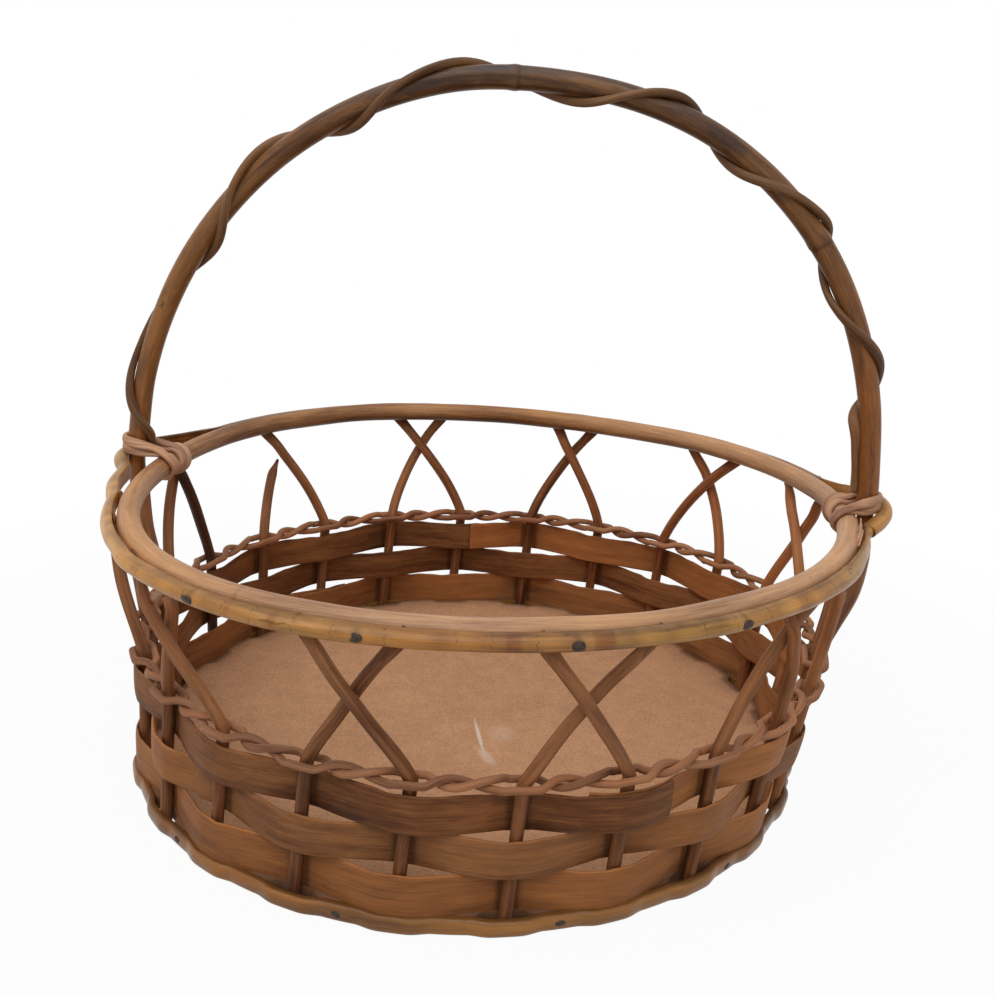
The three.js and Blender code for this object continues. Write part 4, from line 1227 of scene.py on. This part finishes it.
class BASKET_OT_handle(bpy.types.Operator):
    """Makes the handle, one thick cane from weave to weave."""

    bl_idname = "basket.handle"
    bl_label = "Handle"

    def execute(self, context):
        size, rng = millimetres(), np.random.default_rng(91)
        rings, sides = HANDLE_MESH
        share = np.linspace(0.0, 1.0, rings)
        path = along_line(handle_line(), share)
        along = lengths_along(path)
        height = path[:, 2]
        out = path - ARCH_MIDDLE
        out[:, 2] = np.maximum(out[:, 2], 0.0)
        out = unit(out)
        above_rim = smooth(height, 150.0, 190.0)
        path = path + out * (above_rim * 0.25 * wander(rng, along, 55.0))[:, None]
        grip = smooth(height, GRIP_BOTTOM - 14, GRIP_BOTTOM) - smooth(height, 137.3, 145.3)
        girth = handle_diameter(height, size) / size.leg * (1 + 0.03 * wander(rng, along, 40.0))
        knot = sum(bump(share, place, 0.0035) for place in HANDLE_KNOTS)
        groove = sum(bump(share, place + 0.003, 0.0012) for place in HANDLE_KNOTS)
        girth = girth * (1 + 0.07 * knot - 0.03 * groove)
        wide = mixed(1.0, GRIPPED_WIDTH / size.leg / girth, grip)
        across, outward = round_profile(size.leg, sides, girth, wide)
        left, low_left, right = smooth(share, 0.45, 0.2), smooth(share, 0.2, 0.1), smooth(share, 0.6, 0.85)
        light = 0.1 * wander(rng, along, 45.0) + 0.27 * right + 0.34 * left - 0.24
        warm = 0.25 + 0.65 * right + 0.5 * low_left + 0.2 * wander(rng, along, 60.0)
        tone = tones(light, np.clip(warm, 0, 1), np.clip(0.55 * groove, 0, 1))
        finish = cane_finish("handle_cane", colours().handle, HANDLE_LOOK)
        shell = carry(path, out, across, outward, tone, 1.0, 91)
        make_piece("handle_thick_cane", [shell], finish, "handle_cane", "handle")
        return {"FINISHED"}


class BASKET_OT_wrap(bpy.types.Operator):
    """Makes the thin cane wound six times round the handle."""

    bl_idname = "basket.wrap"
    bl_label = "Wrap"

    def execute(self, context):
        size, rng = millimetres(), np.random.default_rng(95)
        rings, sides = WRAP_MESH
        line = handle_line()
        left, right = [handle_share(line, ARCH_SPRING, on_right) for on_right in (False, True)]
        arch_length = lengths_along(line)[-1] * (right - left)
        plan = spline(WRAP_WAY * [arch_length, 12.0], 45)
        share, turns = plan[:, 0] / arch_length, plan[:, 1] / 12.0
        place = mixed(left, right, share)
        centre = along_line(line, place)
        direction = unit(along_line(line, place + 0.0005) - along_line(line, place - 0.0005))
        out = unit(np.cross(HANDLE_FRONT, direction))
        out = out * np.sign(np.sum(out * (centre - ARCH_MIDDLE), axis=1, keepdims=True))
        stand = 0.15 + 0.15 * wander(rng, turns, 0.4)
        tail = smooth(turns, 5.9, 6.0) * smooth(share, 0.92, 0.94)
        reach = handle_diameter(centre[:, 2], size) / 2 + 0.42 * size.wrap
        reach = (reach + stand * (1 - tail) - 0.7 * tail)[:, None]
        turn = 2 * np.pi * turns[:, None]
        around = HANDLE_FRONT * reach * np.sin(turn) - out * reach * np.cos(turn)
        path, guide = evenly(centre + around, rings), evenly(around, rings)
        along = lengths_along(path)
        girth = 1 + 0.06 * wander(rng, along, 30.0)
        last = smooth(along, along[-1] - 75.0, along[-1] - 35.0)
        across, outward = round_profile(size.wrap, sides, girth, 0.84, 1.08 + 0.3 * last)
        light = 0.16 * wander(rng, along, 35.0) + 0.2 * last
        tone = tones(light, np.clip(0.1 + 0.3 * wander(rng, along, 70.0), 0, 1))
        finish = cane_finish("wrap_cane", colours().wrap, WRAP_LOOK)
        shell = carry(path, guide, across, outward, tone, 0.8, 95)
        make_piece("handle_wound_cane", [shell], finish, "strand_cane", "handle_wrap")
        return {"FINISHED"}


# Lashings and loose ends. The flat cane is 3 mm thick, and the radius turns a way along the rim at the
# handle's feet into an angle.

FLAT_CANE_HALF = 1.5
FOOT_RADIUS = 188.0


def flat_cane(points, cores, size, seed, width=1.0):
    """A flat cane with two lengthwise grooves, wound over cores: it follows the points, and its flat side
    faces the core point that goes with each."""
    both = evenly(spline(np.hstack([points, cores]), 24), 14 * len(points))
    path, core = both[:, :3], both[:, 3:]
    guide = np.cross(unit(np.gradient(path, axis=0)), path - core)
    along = lengths_along(path)
    rng = np.random.default_rng([99, seed])
    turn = 2 * np.pi * np.arange(FLAT_CANE_SIDES) / FLAT_CANE_SIDES
    wide = width * size.lashing / 2 * (1 + 0.06 * wander(rng, along, 12.0)[:, None])
    across = wide * np.cos(turn)
    groove = 1 - 0.18 * bump(np.abs(np.cos(turn)), 0.38, 0.13)
    through = FLAT_CANE_HALF * np.sign(np.sin(turn)) * np.abs(np.sin(turn)) ** 0.7 * groove
    light = 0.14 * wander(rng, along, 18.0)
    tone = tones(light, np.clip(0.15 + 0.25 * wander(rng, along, 25.0), 0, 1))
    return carry(path, guide, across, np.broadcast_to(through, across.shape), tone, 0.5, 500 + seed)


def lashing_shells(size, on_right, foot, offset, back, ring_place):
    """A lashing: two turns of flat cane that each go up the inner side of the inner hoop, over it, round
    the leg and back down on its other side, and one wider turn round the hoop alone, at ring_place beyond
    the leg. Places are worked out as outwards, towards the camera and up, from the middle of the foot.
    Those behind the leg are drawn in to it by the share back."""
    hoop, leg = size.inner_hoop / 2 + FLAT_CANE_HALF, size.leg / 2 + FLAT_CANE_HALF
    sign, seed = (-1 if on_right else 1), int(on_right)

    def placed(out, front, up):
        angle = foot + np.degrees(front / FOOT_RADIUS) * sign
        return at_height(wall_point(angle, GRIP_BOTTOM, out), up)

    places, cores = [], []
    around = np.radians([-90.0, 180.0, 135.0, 100.0, 72.0])
    turns = np.radians([62.0, 20.0, -20.0, -62.0])
    hoop_out = -INNER_HOOP_INSET + hoop * np.cos(around)
    leg_out, leg_side = offset + (leg - 1.0) * np.cos(turns), leg * np.sin(turns)
    for turn in range(2):
        step, lift = 3.6 * turn, 4.0 * turn
        side = np.array([2.0, 6.0, 8.2, 8.8, 8.0]) + step * np.array([1.0, 1.0, 1.0, 0.6, 0.3])
        hoop_up = RIM_HEIGHT + hoop * np.sin(around) + lift * np.array([0.0, 0.0, 0.1, 0.3, 0.6])
        leg_up = RIM_HEIGHT + 7.8 + lift
        far_side = -back * side[::-1]
        places.append(placed(hoop_out, side, hoop_up))
        cores.append(placed(-INNER_HOOP_INSET, side, RIM_HEIGHT))
        places.append(placed(leg_out, leg_side, leg_up))
        cores.append(placed(offset, np.zeros(len(turns)), leg_up))
        places.append(placed(hoop_out[::-1], far_side, hoop_up[::-1]))
        cores.append(placed(-INNER_HOOP_INSET, far_side, RIM_HEIGHT))
    binding = flat_cane(np.vstack(places), np.vstack(cores), size, seed)
    turns = np.radians(np.linspace(-100.0, 280.0, 20))
    place = ring_place + 1.5 * np.linspace(-1.0, 1.0, 20)
    out, up = -(hoop + 0.1) * np.sin(turns), (hoop + 0.1) * np.cos(turns)
    ring = placed(-INNER_HOOP_INSET + out, place, RIM_HEIGHT + up)
    core = placed(-INNER_HOOP_INSET, place, RIM_HEIGHT)
    return [binding, flat_cane(ring, core, size, seed + 5, 1.45)]


def loose_cane(angles, offsets, heights, bow, width, seed):
    """A short cane that lies along the rim: its angle, offset and height change on straight lines from end
    to end, and its middle bows upwards."""
    rng = np.random.default_rng([97, seed])
    rings, sides = LOOSE_CANE_MESH
    share = np.linspace(0.0, 1.0, rings)
    angle, offset, height = [mixed(*ends, share) for ends in (angles, offsets, heights)]
    path = at_height(wall_point(angle, GRIP_BOTTOM, offset), height + bow * np.sin(np.pi * share))
    across, outward = round_profile(width, sides, 1 + 0.12 * wander(rng, share, 0.2), 1.0, 0.7)
    return carry(path, UP, across, outward, tones(0.1 * wander(rng, share, 0.3)), 0.3, 600 + seed)


class BASKET_OT_loose_ends(bpy.types.Operator):
    """Makes the cut stub under the rim at the left and the broken fibres in the rim at the right."""

    bl_idname = "basket.loose_ends"
    bl_label = "Loose ends"

    def execute(self, context):
        finish = cane_finish("loose_cane", colours().lashing, LASHING_LOOK)
        stub = loose_cane((226.0, 219.0), (-1.0, -2.5), (129.0, 112.0), 0.0, 4.2, 1)
        make_piece("cane_stub", [stub], finish, "strand_cane")
        rng = np.random.default_rng(98)
        fibres = []
        for number in range(7):
            start = rng.uniform(341.0, 347.0)
            angles = (start, start + rng.uniform(4.0, 8.0))
            side, low = rng.uniform(-2.4, -0.4), rng.uniform(133.0, 134.5)
            heights = (low, low + rng.uniform(1.0, 4.5))
            offsets = (side, side + rng.uniform(-0.5, 1.5))
            fibres.append(loose_cane(angles, offsets, heights, 0.6, 1.5, 2 + number))
        make_piece("broken_fibres", fibres, finish, "strand_cane")
        return {"FINISHED"}


class BASKET_OT_lashings(bpy.types.Operator):
    """Makes the lashings at the two feet of the handle."""

    bl_idname = "basket.lashings"
    bl_label = "Lashings"

    def execute(self, context):
        finish = cane_finish("lashing_cane", colours().lashing, LASHING_LOOK)
        feet = (
            ("left", False, LEFT_FOOT_ANGLE, LEFT_FOOT_OFFSET, 0.5, -9.5),
            ("right", True, RIGHT_FOOT_ANGLE, RIGHT_FOOT_OFFSET, 1.0, -15.5),
        )
        for side, *plan in feet:
            shells = lashing_shells(millimetres(), *plan)
            make_piece("bound_cane_" + side, shells, finish, "strand_cane", "lashing_" + side)
        return {"FINISHED"}


# Stage. The camera's lens and sensor are in millimetres, and the floor and the lamps are in metres. Each
# lamp has its name, place, width and power in watts.

CAMERA_PLACE = (10.856, -639.759, 332.789)
CAMERA_RIGHT = (0.99899465, 0.01339237, 0.04278248)
CAMERA_UP = (-0.04482964, 0.29843895, 0.95337532)
CAMERA_BACK = (0.0, -0.95433476, 0.29873929)
CAMERA_LENS = 48.03
CAMERA_SENSOR = 36.0
FLOOR_RADIUS = 6.0
FLOOR_SIDES = 96
SKY_LIGHT = 0.38
LAMPS = (("overhead", (-0.5, -0.7, 2.2), 2.4, 38.0), ("front", (0.9, -2.4, 1.5), 2.0, 7.0))
LAMP_TARGET = (0.0, 0.0, 0.1)


def aimed(right, up, back, place):
    """The matrix of an object whose own axes point right, up and back, at a place."""
    columns = np.column_stack([right, up, back, place])
    return Matrix([*columns.tolist(), [0.0, 0.0, 0.0, 1.0]])


class BASKET_OT_stage(bpy.types.Operator):
    """Makes the floor, the white world, the lamps and the camera."""

    bl_idname = "basket.stage"
    bl_label = "Stage"

    def execute(self, context):
        context.scene.view_settings.view_transform = "Standard"
        self.make_floor()
        self.make_world(context.scene)
        for lamp in LAMPS:
            self.make_lamp(*lamp)
        data = bpy.data.cameras.new("camera")
        data.sensor_fit = "HORIZONTAL"
        data.sensor_width = CAMERA_SENSOR
        data.lens = CAMERA_LENS
        data.clip_start = 0.01
        place = np.array(CAMERA_PLACE) * MILLIMETRE + BASE_MIDDLE
        camera = add_object("camera", data)
        camera.matrix_world = aimed(CAMERA_RIGHT, CAMERA_UP, CAMERA_BACK, place)
        context.scene.camera = camera
        return {"FINISHED"}

    def make_floor(self):
        """A round floor. Far from the basket, and half way near it, the camera sees it as plain white."""
        angle = np.linspace(0.0, 360.0, FLOOR_SIDES, endpoint=False)
        mesh = bpy.data.meshes.new("floor")
        mesh.from_pydata((FLOOR_RADIUS * outward_at(angle)).tolist(), [], [list(range(FLOOR_SIDES))])
        finish = Finish("floor")
        place = finish.node("ShaderNodeTexCoord", output="Object")
        away = finish.node("ShaderNodeVectorMath", {"operation": "LENGTH"}, {0: place}, output="Value")
        white = (0.95 + finish.above(away, 0.28, 0.5) * 0.05) * finish.seen()
        plain = finish.node("ShaderNodeBsdfDiffuse", sockets={"Color": (*colours().floor, 1.0)})
        glow = finish.node("ShaderNodeEmission", sockets={"Color": (1.0, 1.0, 1.0, 1.0), "Strength": 1.0})
        shader = finish.node("ShaderNodeMixShader", sockets={0: white, 1: plain, 2: glow})
        mesh.materials.append(finish.end(shader))
        add_object("floor", mesh)

    def make_world(self, scene):
        """An even pale sky: white to the camera and in reflections, and softer as a light."""
        sky = Finish("sky", "worlds")
        sockets = {"Color": (1.0, 1.0, 1.0, 1.0), "Strength": sky.seen() * (1.0 - SKY_LIGHT) + SKY_LIGHT}
        scene.world = sky.end(sky.node("ShaderNodeBackground", sockets=sockets), "ShaderNodeOutputWorld")

    def make_lamp(self, name, place, size, power):
        """A square soft lamp that faces the middle of the basket."""
        data = bpy.data.lights.new(name, "AREA")
        data.size = size
        data.energy = power
        away = unit(np.subtract(place, LAMP_TARGET))
        side = unit(np.cross(UP, away))
        add_object(name, data).matrix_world = aimed(side, np.cross(away, side), away, place)


OPERATORS = (
    BASKET_OT_stage, BASKET_OT_base_board, BASKET_OT_base_hoop, BASKET_OT_stakes, BASKET_OT_splints,
    BASKET_OT_twining, BASKET_OT_rim, BASKET_OT_nails, BASKET_OT_handle, BASKET_OT_wrap,
    BASKET_OT_lashings, BASKET_OT_loose_ends,
)


class BASKET_PT_sidebar(bpy.types.Panel):
    """Lists the basket's sizes, colours and pieces."""

    bl_idname = "BASKET_PT_sidebar"
    bl_label = "Basket"
    bl_space_type = "VIEW_3D"
    bl_region_type = "UI"
    bl_category = "Basket"

    def draw(self, context):
        column = self.layout.column()
        for group in (context.scene.basket_sizes, context.scene.basket_colours):
            for name in type(group).__annotations__:
                column.prop(group, name)
        for operator in OPERATORS:
            column.operator(operator.bl_idname)


CLASSES = (BasketSizes, BasketColours, *OPERATORS, BASKET_PT_sidebar)


def register():
    """Adds the classes and the scene's basket settings."""
    for each in CLASSES:
        bpy.utils.register_class(each)
    bpy.types.Scene.basket_sizes = bpy.props.PointerProperty(type=BasketSizes)
    bpy.types.Scene.basket_colours = bpy.props.PointerProperty(type=BasketColours)


def unregister():
    """Removes them again."""
    del bpy.types.Scene.basket_colours
    del bpy.types.Scene.basket_sizes
    for each in reversed(CLASSES):
        bpy.utils.unregister_class(each)


def main():
    register()
    for operator in OPERATORS:
        group, name = operator.bl_idname.split(".")
        getattr(getattr(bpy.ops, group), name)()


if __name__ == "__main__":
    main()
